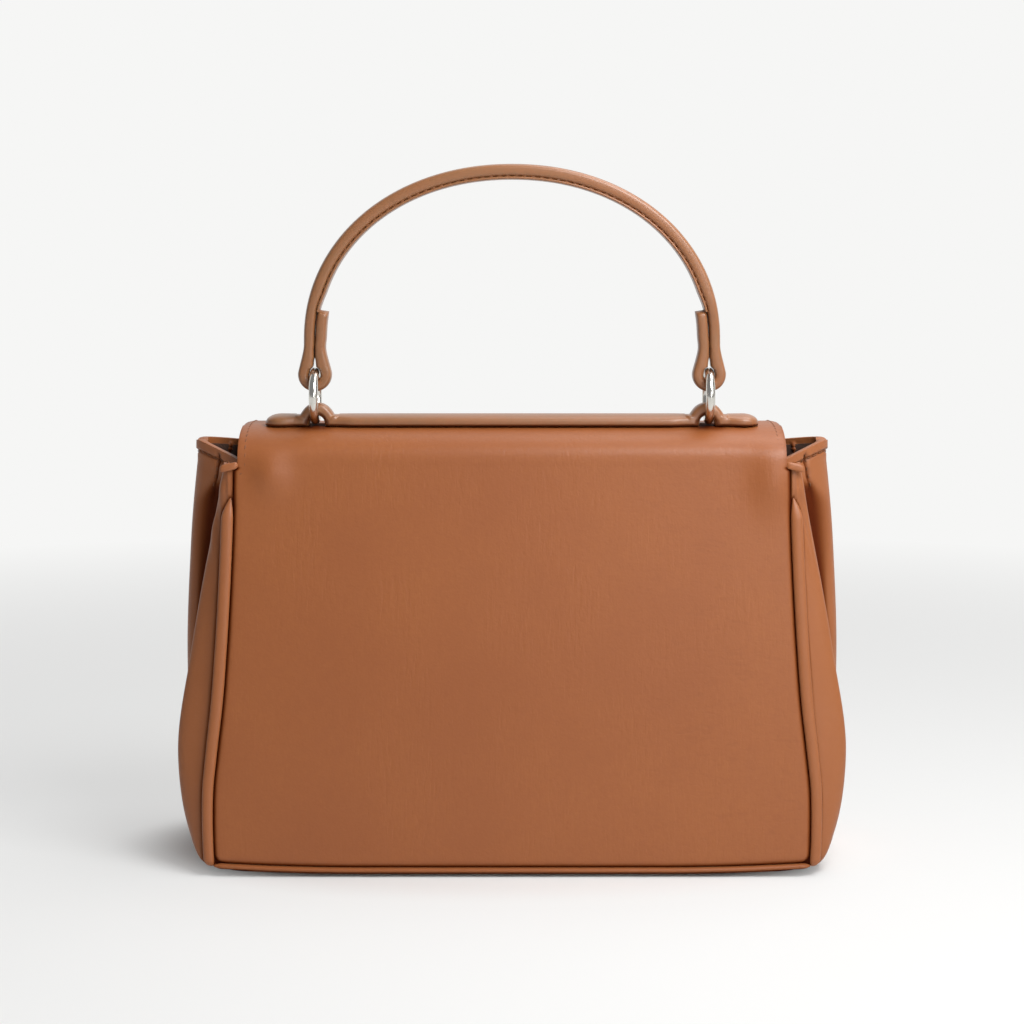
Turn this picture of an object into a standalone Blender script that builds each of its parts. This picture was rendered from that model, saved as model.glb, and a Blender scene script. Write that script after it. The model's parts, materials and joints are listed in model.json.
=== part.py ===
"""A small top-handle flap bag in smooth leather, built as its maker builds it.

The back panel rises to a fold and becomes the flap. The flap crosses the mouth, folds
down over the front and closes on a hidden magnetic snap. Pleated side gussets join the
panels. A padded strap is sewn along the crown of the flap. It arches over two metal rings,
and the handle ends are wrapped round the same rings.

Metres, +Z up. The bag's back faces -Y and its flap closes on +Y. The origin is the middle
of the underside.
"""

import math

import bmesh
import bpy
import numpy as np
from mathutils import Matrix, Vector

# Body: panels, base and mouth.
BODY_HEIGHT = 0.165
PANEL_TOP_WIDTH = 0.225
PANEL_BASE_WIDTH = 0.242
BASE_DEPTH = 0.104
MOUTH_DEPTH = 0.061
FRONT_TOP_DROP = 0.0015
PANEL_CORNER = 0.004
BASE_END_REACH = 0.0065
BASE_CORNER = 0.010
BASE_RISE = 0.0024
BASE_FLAT_WIDTH = 0.120

# Sheet thicknesses, and the clearance between neighbouring layers.
LEATHER = 0.0018
GUSSET_LEATHER = 0.0015
FLAP_LEATHER = 0.0015
BOARD = 0.0010
FLAP_BOARD = 0.0008
BASE_BOARD = 0.0014
LINING = 0.0008
FLAP_LINING = 0.0007
GAP = 0.0003

# Welts along the panel sides and along the base.
WELT_WIDTH = 0.0050
WELT_THICKNESS = 0.0032
WELT_TIP_HEIGHT = 0.1525
WELT_TAPER = 0.022
BASE_WELT_HEIGHT = 0.0021
BASE_WELT_DEPTH = 0.0040
BASE_WELT_LIFT = 0.0015

# Gusset: reach past the panel edge, by share of body height, for its three folds.
SEAM_ALLOWANCE = 0.0040
SEAM_RUN = 0.0026
CREST_REACH = ((0.0, 0.0070), (0.13, 0.0138), (0.28, 0.0178), (0.53, 0.0148), (0.80, 0.0094), (1.0, 0.0046))
VALLEY_REACH = ((0.0, 0.0070), (0.13, 0.0118), (0.30, 0.0098), (0.53, 0.0042), (0.80, 0.0012), (1.0, -0.0018))
WING_REACH = ((0.0, 0.0070), (0.13, 0.0145), (0.30, 0.0180), (0.53, 0.0205), (0.80, 0.0200), (1.0, 0.0184))
CREST_INSET = 0.0065
VALLEY_DEPTH_SHARE = 0.50
WING_SHOULDER_SHARE = 0.27
WING_SHOULDER_INSET = 0.0030
RIM_AT_SEAM = -0.0015
RIM_AT_CREST = 0.0010
RIM_AT_VALLEY = 0.0022
RIM_AT_SHOULDER = 0.0076
RIM_AT_WING = 0.0092

# Inner boards, lining and pocket.
BOARD_SIDE_INSET = 0.0055
LINING_SIDE_INSET = 0.0060
LINING_TOP_DROP = 0.0050
POCKET_WIDTH = 0.150
POCKET_HEIGHT = 0.090
POCKET_DEPTH = 0.0070
POCKET_TOP_DROP = 0.030

# Flap: crown over the mouth, and the drop down the front.
FLAP_WIDTH = 0.223
CROWN_RISE = 0.0155
CROWN_SQUARENESS = 2.5
DROP_LENGTH = 0.093
DROP_CORNER = 0.030
SNAP_SPACE = 0.0034
CROWN_BOARD_START = 0.0050

# Magnetic snap.
SNAP_RADIUS = 0.0070
SNAP_HOLE_RADIUS = 0.0026
SNAP_NUB_RADIUS = 0.0022
SNAP_SOCKET_THICKNESS = 0.0015
SNAP_STUD_THICKNESS = 0.0010
SNAP_UP_FROM_TIP = 0.018
WASHER_THICKNESS = 0.0007

# Padded strap along the crown, with an arch over each ring.
STRAP_LENGTH = 0.204
STRAP_WIDTH = 0.012
STRAP_THICKNESS = 0.0039
STRAP_Y = -0.009
ARCH_WIDTH = 0.0088
ARCH_THICKNESS = 0.0036
ARCH_RADIUS = 0.0034
ARCH_SPRING_HEIGHT = 0.0021
ARCH_FOOT_RADIUS = 0.0010
ARCH_FILLET = 0.0012
STRAP_END_TAPER = 0.010

# Rings.
RING_SPACING = 0.1628
RING_OUTER_DIAMETER = 0.0236
RING_WIRE = 0.0038
RING_SEAT_GAP = 0.0004
ARCH_OFFSET = 0.0008

# Handle: the outer face of its strap, and the layers under it.
HANDLE_SPAN = 0.1716
HANDLE_RISE = 0.0723
HANDLE_SPRING_HEIGHT = 0.0227
HANDLE_SQUARENESS = 2.08
HANDLE_WIDTH = 0.011
HANDLE_STRAP = 0.0046
HANDLE_CORE = 0.0018
HANDLE_CORE_WIDTH = 0.0070
HANDLE_LINING = 0.0014
HANDLE_LINING_WIDTH = 0.0095
LOOP_HOLE = 0.0047
LOOP_WIDTH = 0.0080
LOOP_DROP = 0.0010
NECK_RISE = 0.0100
TAB_LENGTH = 0.0160
TAB_WIDTH = 0.0095
LINING_CLEARANCE = 0.0009
HANDLE_STEP = 0.0052
LOOP_STEP = 0.0021

LEATHER_COLOUR = (0.39, 0.155, 0.062)
LEATHER_SHADE_COLOUR = (0.30, 0.118, 0.05)
LINING_COLOUR = (0.19, 0.095, 0.055)
BOARD_COLOUR = (0.36, 0.30, 0.22)
FILLER_COLOUR = (0.55, 0.50, 0.42)
NICKEL_COLOUR = (0.72, 0.71, 0.69)
LEATHER_ROUGHNESS = 0.42
CLOTH_ROUGHNESS = 0.85
NICKEL_ROUGHNESS = 0.14
SHARP_ANGLE = math.radians(40)


def smooth_step(t):
    t = np.clip(t, 0.0, 1.0)
    return t * t * (3 - 2 * t)


def spline_weights(count, samples):
    """Catmull-Rom weights: row i times the control points gives sample i of the curve."""
    spans = np.linspace(0, count - 1, samples)
    start = np.minimum(spans.astype(int), count - 2)
    t = spans - start
    basis = np.stack([
        -0.5 * t**3 + t**2 - 0.5 * t,
        1.5 * t**3 - 2.5 * t**2 + 1,
        -1.5 * t**3 + 2 * t**2 + 0.5 * t,
        0.5 * t**3 - 0.5 * t**2,
    ], axis=1)
    weights = np.zeros((samples, count))
    for step in range(4):
        column = np.clip(start + step - 1, 0, count - 1)
        np.add.at(weights, (np.arange(samples), column), basis[:, step])
    return weights


def through(points, samples):
    """A smooth curve through the given points."""
    points = np.asarray(points, float)
    return spline_weights(len(points), samples) @ points


def reach_at(table, share):
    """A reach read from its table at a share of the body height, smoothed between rows."""
    shares = np.array([row[0] for row in table])
    values = np.array([row[1] for row in table])
    slopes = np.gradient(values, shares)
    share = np.clip(share, 0.0, 1.0)
    index = np.clip(np.searchsorted(shares, share, side="right") - 1, 0, len(shares) - 2)
    width = shares[index + 1] - shares[index]
    t = (share - shares[index]) / width
    return (
        (2 * t**3 - 3 * t**2 + 1) * values[index]
        + (t**3 - 2 * t**2 + t) * width * slopes[index]
        + (3 * t**2 - 2 * t**3) * values[index + 1]
        + (t**3 - t**2) * width * slopes[index + 1]
    )


def half_depth(z):
    """Distance from the middle plane to the outer face of the front and back panels."""
    return BASE_DEPTH / 2 + (MOUTH_DEPTH - BASE_DEPTH) / 2 * z / BODY_HEIGHT


def panel_half(z):
    return PANEL_BASE_WIDTH / 2 + (PANEL_TOP_WIDTH - PANEL_BASE_WIDTH) / 2 * z / BODY_HEIGHT


PANEL_SLOPE = math.atan((BASE_DEPTH - MOUTH_DEPTH) / 2 / BODY_HEIGHT)
PANEL_FOOT = BASE_WELT_LIFT + BASE_WELT_HEIGHT + GAP


def across(thickness):
    """Horizontal distance that a thickness square to the sloping panels takes up."""
    return thickness / math.cos(PANEL_SLOPE)


def settle(points):
    """The loaded base lifts a little towards its ends. Heights above it follow, less and less."""
    points = np.array(points, float)
    start = BASE_FLAT_WIDTH / 2
    run = PANEL_BASE_WIDTH / 2 + BASE_END_REACH - start
    lift = BASE_RISE * np.clip((np.abs(points[..., 0]) - start) / run, 0, 1) ** 2
    points[..., 2] += lift * np.clip(1 - points[..., 2] / BODY_HEIGHT, 0, 1)
    return points


def corner_cut(distance, radius):
    """How much a rounded corner narrows a sheet at a distance from the edge that it meets."""
    into = np.clip(radius - distance, 0, radius)
    return radius - np.sqrt(radius**2 - into**2)


def material(name, colour, roughness, metallic=0.0):
    made = bpy.data.materials.get(name)
    if made is None:
        made = bpy.data.materials.new(name)
        made.use_nodes = True
        shader = made.node_tree.nodes["Principled BSDF"]
        shader.inputs["Base Color"].default_value = (*colour, 1)
        shader.inputs["Roughness"].default_value = roughness
        shader.inputs["Metallic"].default_value = metallic
    return made


def leather():
    return material("tan_leather", LEATHER_COLOUR, LEATHER_ROUGHNESS)


def shaded_leather():
    return material("tan_leather_edge", LEATHER_SHADE_COLOUR, LEATHER_ROUGHNESS)


def lining_cloth():
    return material("brown_lining", LINING_COLOUR, CLOTH_ROUGHNESS)


def reinforcement():
    return material("reinforcement_board", BOARD_COLOUR, CLOTH_ROUGHNESS)


def nickel():
    return material("polished_nickel", NICKEL_COLOUR, NICKEL_ROUGHNESS, 1.0)


def add_object(name, mesh, finish, parent=None):
    made = bpy.data.objects.new(name, mesh)
    bpy.context.scene.collection.objects.link(made)
    mesh.materials.append(finish)
    mesh.shade_smooth()
    mesh.set_sharp_from_angle(angle=SHARP_ANGLE)
    if parent is not None:
        made.parent = parent
        made.matrix_parent_inverse = parent.matrix_world.inverted()
    return made


def pivot(name, place):
    """An empty on a joint's axis, which carries the pieces that move with the joint."""
    made = bpy.data.objects.new(name, None)
    bpy.context.scene.collection.objects.link(made)
    made.location = place
    made.empty_display_size = 0.01
    bpy.context.view_layer.update()
    return made


def grid_mesh(name, grid, outward):
    """A mesh of quads over a grid of points, with its faces turned to look along outward."""
    rows, columns = grid.shape[:2]
    index = np.arange(rows * columns).reshape(rows, columns)
    quads = np.stack([index[:-1, :-1], index[:-1, 1:], index[1:, 1:], index[1:, :-1]], axis=-1)
    quads = quads.reshape(-1, 4)
    points = grid.reshape(-1, 3)
    diagonals = np.cross(
        points[quads[:, 2]] - points[quads[:, 0]],
        points[quads[:, 3]] - points[quads[:, 1]],
    )
    if (diagonals @ np.asarray(outward, float)).sum() < 0:
        quads = quads[:, ::-1]
    mesh = bpy.data.meshes.new(name)
    mesh.from_pydata(points.tolist(), [], quads.tolist())
    return mesh


def thicken(made, thickness):
    """Gives a surface its thickness, inwards from the faces that it has."""
    solid = made.modifiers.new("Thickness", "SOLIDIFY")
    solid.thickness = thickness
    solid.offset = -1
    solid.use_even_offset = True
    return made


def sheet(name, grid, outward, thickness, finish, parent=None):
    """A piece cut from sheet: a grid of points on its outer face, thickened inwards."""
    return thicken(add_object(name, grid_mesh(name, grid, outward), finish, parent), thickness)


def swept(name, rings, finish, parent=None):
    """A closed solid lofted through rings of points, with both ends capped."""
    mesh = bpy.data.meshes.new(name)
    shape = bmesh.new()
    loops = [[shape.verts.new(point) for point in ring] for ring in rings]
    for ring, following in zip(loops, loops[1:]):
        for corner in range(len(ring)):
            after = (corner + 1) % len(ring)
            shape.faces.new((ring[corner], ring[after], following[after], following[corner]))
    shape.faces.new(loops[0][::-1])
    shape.faces.new(loops[-1])
    bmesh.ops.recalc_face_normals(shape, faces=shape.faces)
    shape.to_mesh(mesh)
    shape.free()
    return add_object(name, mesh, finish, parent)


def soft_section(width, thickness, points, squareness):
    """A cushioned rectangle: (across, through) points, from 0 on its outer face inwards."""
    angle = np.linspace(0, 2 * math.pi, points, endpoint=False) + math.pi / points
    power = 2 / squareness
    side = np.sign(np.cos(angle)) * np.abs(np.cos(angle)) ** power
    through_it = np.sign(np.sin(angle)) * np.abs(np.sin(angle)) ** power
    return np.stack([side * width / 2, (through_it - 1) * thickness / 2], axis=1)


def path_normals(path):
    """Unit normals of a path in the XZ plane, on the left of its direction."""
    along = np.gradient(path, axis=0)
    along /= np.linalg.norm(along, axis=1, keepdims=True)
    return np.stack([-along[:, 1], along[:, 0]], axis=1)


def strip(name, path, y, widths, thicknesses, finish, parent=None, points=10, squareness=4.0, depth=0.0):
    """A strip of leather along a path in the XZ plane. The path is its outer face.

    depth sets it below another strip's outer face, for the layers of one handle.
    """
    normals = path_normals(path)
    rings = []
    for place, normal, width, thickness, below in zip(
        path, normals, widths, thicknesses, np.broadcast_to(depth, len(path))
    ):
        section = soft_section(width, thickness, points, squareness)
        offset = section[:, 1] - below
        rings.append(np.stack([
            place[0] + normal[0] * offset,
            y + section[:, 0],
            place[1] + normal[1] * offset,
        ], axis=1))
    return swept(name, rings, finish, parent)


def panel_sheet(name, side, inset, low, high, side_inset, thickness, finish, corner=PANEL_CORNER):
    """A front or back layer of the body: its outer face lies inset from the panel's own."""
    heights = np.concatenate([low + np.array([0, 0.3, 1.0]) * corner, np.linspace(low, high, 6)[1:]])
    heights = np.unique(np.round(heights, 7))
    spread = np.linspace(-1, 1, 13)
    z = np.repeat(heights[:, None], len(spread), axis=1)
    half = panel_half(z) - side_inset - corner_cut(z - low, corner)
    y = side * (half_depth(z) - across(inset))
    grid = settle(np.stack([half * spread, y, z], axis=-1))
    return sheet(name, grid, (0, side, 0), thickness, finish)


def build_panels():
    top = BODY_HEIGHT
    front_top = BODY_HEIGHT - FRONT_TOP_DROP
    panel_sheet("back_panel", -1, 0, PANEL_FOOT, top, 0, LEATHER, leather())
    panel_sheet("front_panel", 1, 0, PANEL_FOOT, front_top, 0, LEATHER, leather())
    inset = LEATHER + GAP
    low = PANEL_FOOT + BOARD
    panel_sheet("back_board", -1, inset, low, top - BOARD, BOARD_SIDE_INSET, BOARD, reinforcement())
    front = panel_sheet(
        "front_board", 1, inset, low, front_top - BOARD, BOARD_SIDE_INSET, BOARD, reinforcement()
    )
    cut_round_hole(front, snap_frame(), SNAP_RADIUS + GAP)


def flat_grid(half_width, half_length, corner, z):
    """Grid over a rounded rectangle, longest along X, at one height."""
    near = half_length - corner
    rows = np.concatenate([near + corner * np.array([1.0, 0.8, 0.4]), np.linspace(near, 0, 3)])
    rows = np.unique(np.round(np.concatenate([rows, -rows]), 7))
    spread = np.linspace(-1, 1, 13)
    y = np.repeat(rows[:, None], len(spread), axis=1)
    half = half_width - corner_cut(half_length - np.abs(y), corner)
    return settle(np.stack([half * spread, y, np.full_like(y, z)], axis=-1))


def base_half_length():
    return half_depth(0) - BASE_WELT_DEPTH + across(WELT_OVERHANG) - GAP


def build_base():
    end = PANEL_BASE_WIDTH / 2 + BASE_END_REACH
    sheet("base_panel", flat_grid(end, base_half_length(), BASE_CORNER, 0), (0, 0, -1), LEATHER, leather())
    inner = half_depth(0) - across(LEATHER) - BOARD - GAP
    board_end = PANEL_BASE_WIDTH / 2 - BOARD_SIDE_INSET
    grid = flat_grid(board_end, inner, BASE_CORNER / 2, LEATHER + GAP)
    sheet("base_board", grid, (0, 0, -1), BASE_BOARD, reinforcement())


WELT_OVERHANG = 0.0010


def build_base_welts():
    """A narrow rolled strip under each panel's lower edge, between the panel and the base."""
    reach = PANEL_BASE_WIDTH / 2 - PANEL_CORNER
    x = np.linspace(-reach, reach, 19)
    taper = np.clip((reach - np.abs(x)) / PANEL_CORNER, 0.35, 1)
    for name, side in (("base_welt_back", -1), ("base_welt_front", 1)):
        middle = side * (half_depth(0) + WELT_OVERHANG - BASE_WELT_DEPTH / 2)
        rings = []
        for place, share in zip(x, taper):
            section = soft_section(BASE_WELT_DEPTH * share, BASE_WELT_HEIGHT * share, 8, 2.4)
            height = BASE_WELT_LIFT + BASE_WELT_HEIGHT * (1 + share) / 2 + section[:, 1]
            ring = np.stack([np.full(8, place), middle + section[:, 0], height], axis=1)
            rings.append(settle(ring))
        swept(name, rings, shaded_leather())


def build_side_welts():
    """A padded welt along each side seam of the panels, drawn to a point near the mouth."""
    low = PANEL_FOOT
    z = np.concatenate([
        low + np.array([0, 0.25, 1.0]) * WELT_WIDTH / 2,
        np.linspace(low + WELT_WIDTH, WELT_TIP_HEIGHT - WELT_TAPER, 8),
        WELT_TIP_HEIGHT - WELT_TAPER * np.array([0.7, 0.4, 0.15, 0.02]),
    ])
    share = np.minimum(
        np.sqrt(np.clip((WELT_TIP_HEIGHT - z) / WELT_TAPER, 0.004, 1)),
        np.sqrt(np.clip((z - low + WELT_WIDTH * 0.1) / (WELT_WIDTH * 0.6), 0.1, 1)),
    )
    for end, hand in (("left", -1), ("right", 1)):
        for face, side in (("back", -1), ("front", 1)):
            rings = []
            for height, size in zip(z, share):
                section = soft_section(WELT_WIDTH * size, WELT_THICKNESS * size, 8, 2.6)
                middle = panel_half(height) + GAP + WELT_WIDTH / 2
                seat = half_depth(height) - across(LEATHER + GAP) + GAP
                depth = seat + WELT_THICKNESS * size + section[:, 1]
                ring = np.stack([
                    hand * (middle + section[:, 0]),
                    side * depth,
                    np.full(8, height),
                ], axis=1)
                rings.append(settle(ring))
            swept(f"side_welt_{face}_{end}", rings, shaded_leather())


def gusset_grid(hand, rows, columns):
    """Outer face of a gusset.

    Across it the sheet runs from the back seam over a crest, down a valley, out round the
    wing, and back through a second valley and crest to the front seam. Up it, each of these
    folds has its own reach past the panel edge.
    """
    rim = np.array([
        RIM_AT_SEAM, RIM_AT_SEAM, RIM_AT_CREST, RIM_AT_VALLEY, RIM_AT_SHOULDER, RIM_AT_WING,
    ])
    rim = np.concatenate([rim, rim[-2::-1]])
    weights = spline_weights(len(rim), columns)
    low = LEATHER + GAP
    top = BODY_HEIGHT + weights @ rim
    share = np.linspace(0, 1, rows)[:, None]
    z = low + share * (top[None, :] - low)
    part = z / BODY_HEIGHT
    inner = half_depth(z) - across(LEATHER + GAP)
    edge = panel_half(np.minimum(z, BODY_HEIGHT))
    valley_y = inner * VALLEY_DEPTH_SHARE
    reach = [
        (edge - SEAM_ALLOWANCE, inner),
        (edge + SEAM_RUN, inner),
        (edge + reach_at(CREST_REACH, part), inner - CREST_INSET),
        (edge + reach_at(VALLEY_REACH, part), valley_y),
        (edge + reach_at(WING_REACH, part) - WING_SHOULDER_INSET, inner * WING_SHOULDER_SHARE),
        (edge + reach_at(WING_REACH, part), inner * 0),
    ]
    x = np.stack([pair[0] for pair in reach] + [pair[0] for pair in reach[-2::-1]], axis=-1)
    y = np.stack([-pair[1] for pair in reach] + [pair[1] for pair in reach[-2::-1]], axis=-1)
    x = np.einsum("rck,ck->rc", x, weights)
    y = np.clip(np.einsum("rck,ck->rc", y, weights), -inner, inner)
    return settle(np.stack([hand * x, y, z], axis=-1))


def build_gussets():
    for name, hand in (("gusset_left", -1), ("gusset_right", 1)):
        sheet(name, gusset_grid(hand, 13, 37), (hand, 0, 0), GUSSET_LEATHER, leather())


def build_lining():
    """A drop-in lining: one strip down the back, across the base and up the front, with two ends."""
    inset = across(LEATHER + GAP + BOARD + GAP)
    low = LEATHER + GAP + BASE_BOARD + GAP
    top = BODY_HEIGHT - LINING_TOP_DROP
    wall = np.linspace(top, low, 7)
    y = half_depth(wall) - inset
    profile = np.concatenate([
        np.stack([-y, wall], axis=1),
        [(0, low)],
        np.stack([y[::-1], wall[::-1]], axis=1),
    ])
    spread = np.linspace(-1, 1, 15)
    half = panel_half(profile[:, 1]) - LINING_SIDE_INSET
    grid = np.stack([
        half[:, None] * spread[None, :],
        np.repeat(profile[:, :1], len(spread), axis=1),
        np.repeat(profile[:, 1:], len(spread), axis=1),
    ], axis=-1)
    mesh = grid_mesh("lining_bag", settle(grid), (0, 0, -1))
    shape = bmesh.new()
    shape.from_mesh(mesh)
    shape.verts.ensure_lookup_table()
    rows, columns = grid.shape[:2]
    for column in (0, columns - 1):
        end = [shape.verts[row * columns + column] for row in range(rows)]
        shape.faces.new(end)
    bmesh.ops.recalc_face_normals(shape, faces=shape.faces)
    shape.to_mesh(mesh)
    shape.free()
    made = thicken(add_object("lining_bag", mesh, lining_cloth()), LINING)
    return made


def wall_frame(side, inset, z):
    """Axes on a sloping wall: X along the bag, Y out of the bag, Z up the wall."""
    angle = side * PANEL_SLOPE
    place = Matrix.Translation((0, side * (half_depth(z) - across(inset)), z))
    return place @ Matrix.Rotation(angle, 4, "X")


def build_pocket():
    """A flat patch pocket, open at the top, on the back wall of the lining."""
    inset = LEATHER + GAP + BOARD + GAP + LINING + GAP
    top = BODY_HEIGHT - POCKET_TOP_DROP
    frame = wall_frame(-1, inset, top - POCKET_HEIGHT)
    half = POCKET_WIDTH / 2
    outline = ((-half, POCKET_HEIGHT), (-half, 0), (half, 0), (half, POCKET_HEIGHT))
    mesh = bpy.data.meshes.new("slip_pocket")
    shape = bmesh.new()
    wall = [shape.verts.new(frame @ Vector((x, 0, z))) for x, z in outline]
    face = [shape.verts.new(frame @ Vector((x, POCKET_DEPTH, z))) for x, z in outline]
    for near, far in ((0, 1), (1, 2), (2, 3)):
        shape.faces.new((wall[near], wall[far], face[far], face[near]))
    shape.faces.new(face)
    bmesh.ops.recalc_face_normals(shape, faces=shape.faces)
    shape.to_mesh(mesh)
    shape.free()
    thicken(add_object("slip_pocket", mesh, lining_cloth()), LINING)


def flap_stack():
    """Thickness of the flap's three layers with the clearances between them."""
    return FLAP_LEATHER + GAP + FLAP_BOARD + GAP + FLAP_LINING


def fold_y():
    """Outer face of the flap where it turns down over the front panel."""
    return MOUTH_DEPTH / 2 + across(SNAP_SPACE + flap_stack())


def crown_height(y):
    """Height of the crown's outer face above the floor, on an arch from the back face to the front fold."""
    middle = (fold_y() - MOUTH_DEPTH / 2) / 2
    half = (fold_y() + MOUTH_DEPTH / 2) / 2
    share = np.clip(np.abs(y - middle) / half, 0, 1)
    return BODY_HEIGHT + CROWN_RISE * (1 - share**CROWN_SQUARENESS) ** (1 / CROWN_SQUARENESS)


def crown_profile(below, start, samples):
    """(y, z) points of a layer of the crown, set below its outer face and started above its ends."""
    middle = (fold_y() - MOUTH_DEPTH / 2) / 2
    half = (fold_y() + MOUTH_DEPTH / 2) / 2
    power = 2 / CROWN_SQUARENESS
    angle = np.linspace(math.pi, 0, 721)
    y = middle + half * np.sign(np.cos(angle)) * np.abs(np.cos(angle)) ** power
    z = BODY_HEIGHT + CROWN_RISE * np.abs(np.sin(angle)) ** power
    path = np.stack([y, z], axis=1)
    step = np.concatenate([[0], np.cumsum(np.linalg.norm(np.diff(path, axis=0), axis=1))])
    even = np.linspace(start, step[-1] - start, samples)
    path = np.stack([np.interp(even, step, path[:, 0]), np.interp(even, step, path[:, 1])], axis=1)
    return path - path_normals(path) * below


def crown_sheet(name, below, start, width, thickness, finish, parent):
    profile = crown_profile(below, start, 23)
    spread = np.linspace(-width / 2, width / 2, 5)
    grid = np.stack([
        np.repeat(spread[None, :], len(profile), axis=0),
        np.repeat(profile[:, :1], len(spread), axis=1),
        np.repeat(profile[:, 1:], len(spread), axis=1),
    ], axis=-1)
    return sheet(name, grid, (0, 0, 1), thickness, finish, parent)


def drop_sheet(name, below, start, inset, thickness, finish, parent):
    """A layer of the flap's front drop, parallel to the front panel, with rounded lower corners."""
    top = BODY_HEIGHT - GAP / 2 - start
    low = BODY_HEIGHT - DROP_LENGTH + inset
    corner = DROP_CORNER - inset
    into = corner * (1 - np.cos(np.linspace(0, math.pi / 2, 7)))
    heights = np.concatenate([low + into, np.linspace(low + corner, top, 4)[1:]])
    spread = np.linspace(-1, 1, 13)
    z = np.repeat(heights[:, None], len(spread), axis=1)
    half = FLAP_WIDTH / 2 - inset - corner_cut(z - low, corner)
    y = fold_y() + half_depth(z) - MOUTH_DEPTH / 2 - across(below)
    return sheet(name, np.stack([half * spread, y, z], axis=-1), (0, 1, 0), thickness, finish, parent)


def snap_height():
    return BODY_HEIGHT - DROP_LENGTH + SNAP_UP_FROM_TIP


def snap_frame():
    """Axes at the snap, on the outer face of the front panel, with Y pointing out of the bag."""
    return wall_frame(1, 0, snap_height())


def turned(name, profile, frame, finish, parent=None):
    """A round piece: (radius, height) points spun about the frame's Y axis."""
    mesh = bpy.data.meshes.new(name)
    shape = bmesh.new()
    verts = [shape.verts.new((radius, height, 0)) for radius, height in profile]
    edges = [shape.edges.new(pair) for pair in zip(verts, verts[1:] + verts[:1])]
    bmesh.ops.spin(
        shape, geom=verts + edges, cent=(0, 0, 0), axis=(0, 1, 0), angle=2 * math.pi, steps=28,
        use_merge=True,
    )
    bmesh.ops.remove_doubles(shape, verts=shape.verts, dist=1e-6)
    bmesh.ops.recalc_face_normals(shape, faces=shape.faces)
    bmesh.ops.transform(shape, matrix=frame, verts=shape.verts)
    shape.to_mesh(mesh)
    shape.free()
    return add_object(name, mesh, finish, parent)


def cut_round_hole(made, frame, radius):
    """Cuts a round hole through a sheet, along the frame's Y axis."""
    mesh = bpy.data.meshes.new(made.name + "_hole_cutter")
    shape = bmesh.new()
    long_enough = 8 * LEATHER
    bmesh.ops.create_cone(
        shape, cap_ends=True, segments=28, radius1=radius, radius2=radius, depth=long_enough,
        matrix=frame @ Matrix.Rotation(math.pi / 2, 4, "X"),
    )
    shape.to_mesh(mesh)
    shape.free()
    cutter = bpy.data.objects.new(mesh.name, mesh)
    bpy.context.scene.collection.objects.link(cutter)
    cutter.hide_render = True
    cutter.display_type = "WIRE"
    if made.parent is not None:
        cutter.parent = made.parent
        cutter.matrix_parent_inverse = made.parent.matrix_world.inverted()
    cut = made.modifiers.new("Hole", "BOOLEAN")
    cut.object = cutter


def build_snap(drop_pivot):
    frame = snap_frame()
    low = GAP
    high = GAP + SNAP_SOCKET_THICKNESS
    chamfer = SNAP_SOCKET_THICKNESS / 4
    turned("snap_socket", [
        (SNAP_HOLE_RADIUS, low), (SNAP_RADIUS, low), (SNAP_RADIUS, high - chamfer),
        (SNAP_RADIUS - chamfer, high), (SNAP_HOLE_RADIUS, high),
    ], frame, nickel())
    behind = -(LEATHER + GAP)
    turned("snap_socket_washer", [
        (SNAP_HOLE_RADIUS, behind - WASHER_THICKNESS), (SNAP_RADIUS, behind - WASHER_THICKNESS),
        (SNAP_RADIUS, behind), (SNAP_HOLE_RADIUS, behind),
    ], frame, nickel())
    plate_high = SNAP_SPACE - GAP
    plate_low = plate_high - SNAP_STUD_THICKNESS
    turned("snap_stud", [
        (0, low + GAP), (SNAP_NUB_RADIUS, low + GAP), (SNAP_NUB_RADIUS, plate_low),
        (SNAP_RADIUS - chamfer, plate_low), (SNAP_RADIUS, plate_low + chamfer),
        (SNAP_RADIUS, plate_high), (0, plate_high),
    ], frame, nickel(), drop_pivot)
    above = SNAP_SPACE + FLAP_LINING + GAP
    turned("snap_stud_washer", [
        (SNAP_HOLE_RADIUS, above), (SNAP_RADIUS, above), (SNAP_RADIUS, above + WASHER_THICKNESS),
        (SNAP_HOLE_RADIUS, above + WASHER_THICKNESS),
    ], frame, nickel(), drop_pivot)


def build_flap(crown_pivot, drop_pivot):
    board_below = FLAP_LEATHER + GAP
    lining_below = board_below + FLAP_BOARD + GAP
    crown_sheet("flap_crown", 0, GAP, FLAP_WIDTH, FLAP_LEATHER, leather(), crown_pivot)
    start = CROWN_BOARD_START
    width = FLAP_WIDTH - 2 * start
    crown_sheet("flap_crown_board", board_below, start, width, FLAP_BOARD, reinforcement(), crown_pivot)
    crown_sheet("flap_crown_lining", lining_below, start, width, FLAP_LINING, lining_cloth(), crown_pivot)
    drop_sheet("flap_drop", 0, 0, 0, FLAP_LEATHER, leather(), drop_pivot)
    board = drop_sheet("flap_drop_board", board_below, start, start, FLAP_BOARD, reinforcement(), drop_pivot)
    cut_round_hole(board, snap_frame() @ Matrix.Translation((0, SNAP_SPACE, 0)), SNAP_RADIUS + GAP)
    drop_sheet("flap_drop_lining", lining_below, start, start, FLAP_LINING, lining_cloth(), drop_pivot)


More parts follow.
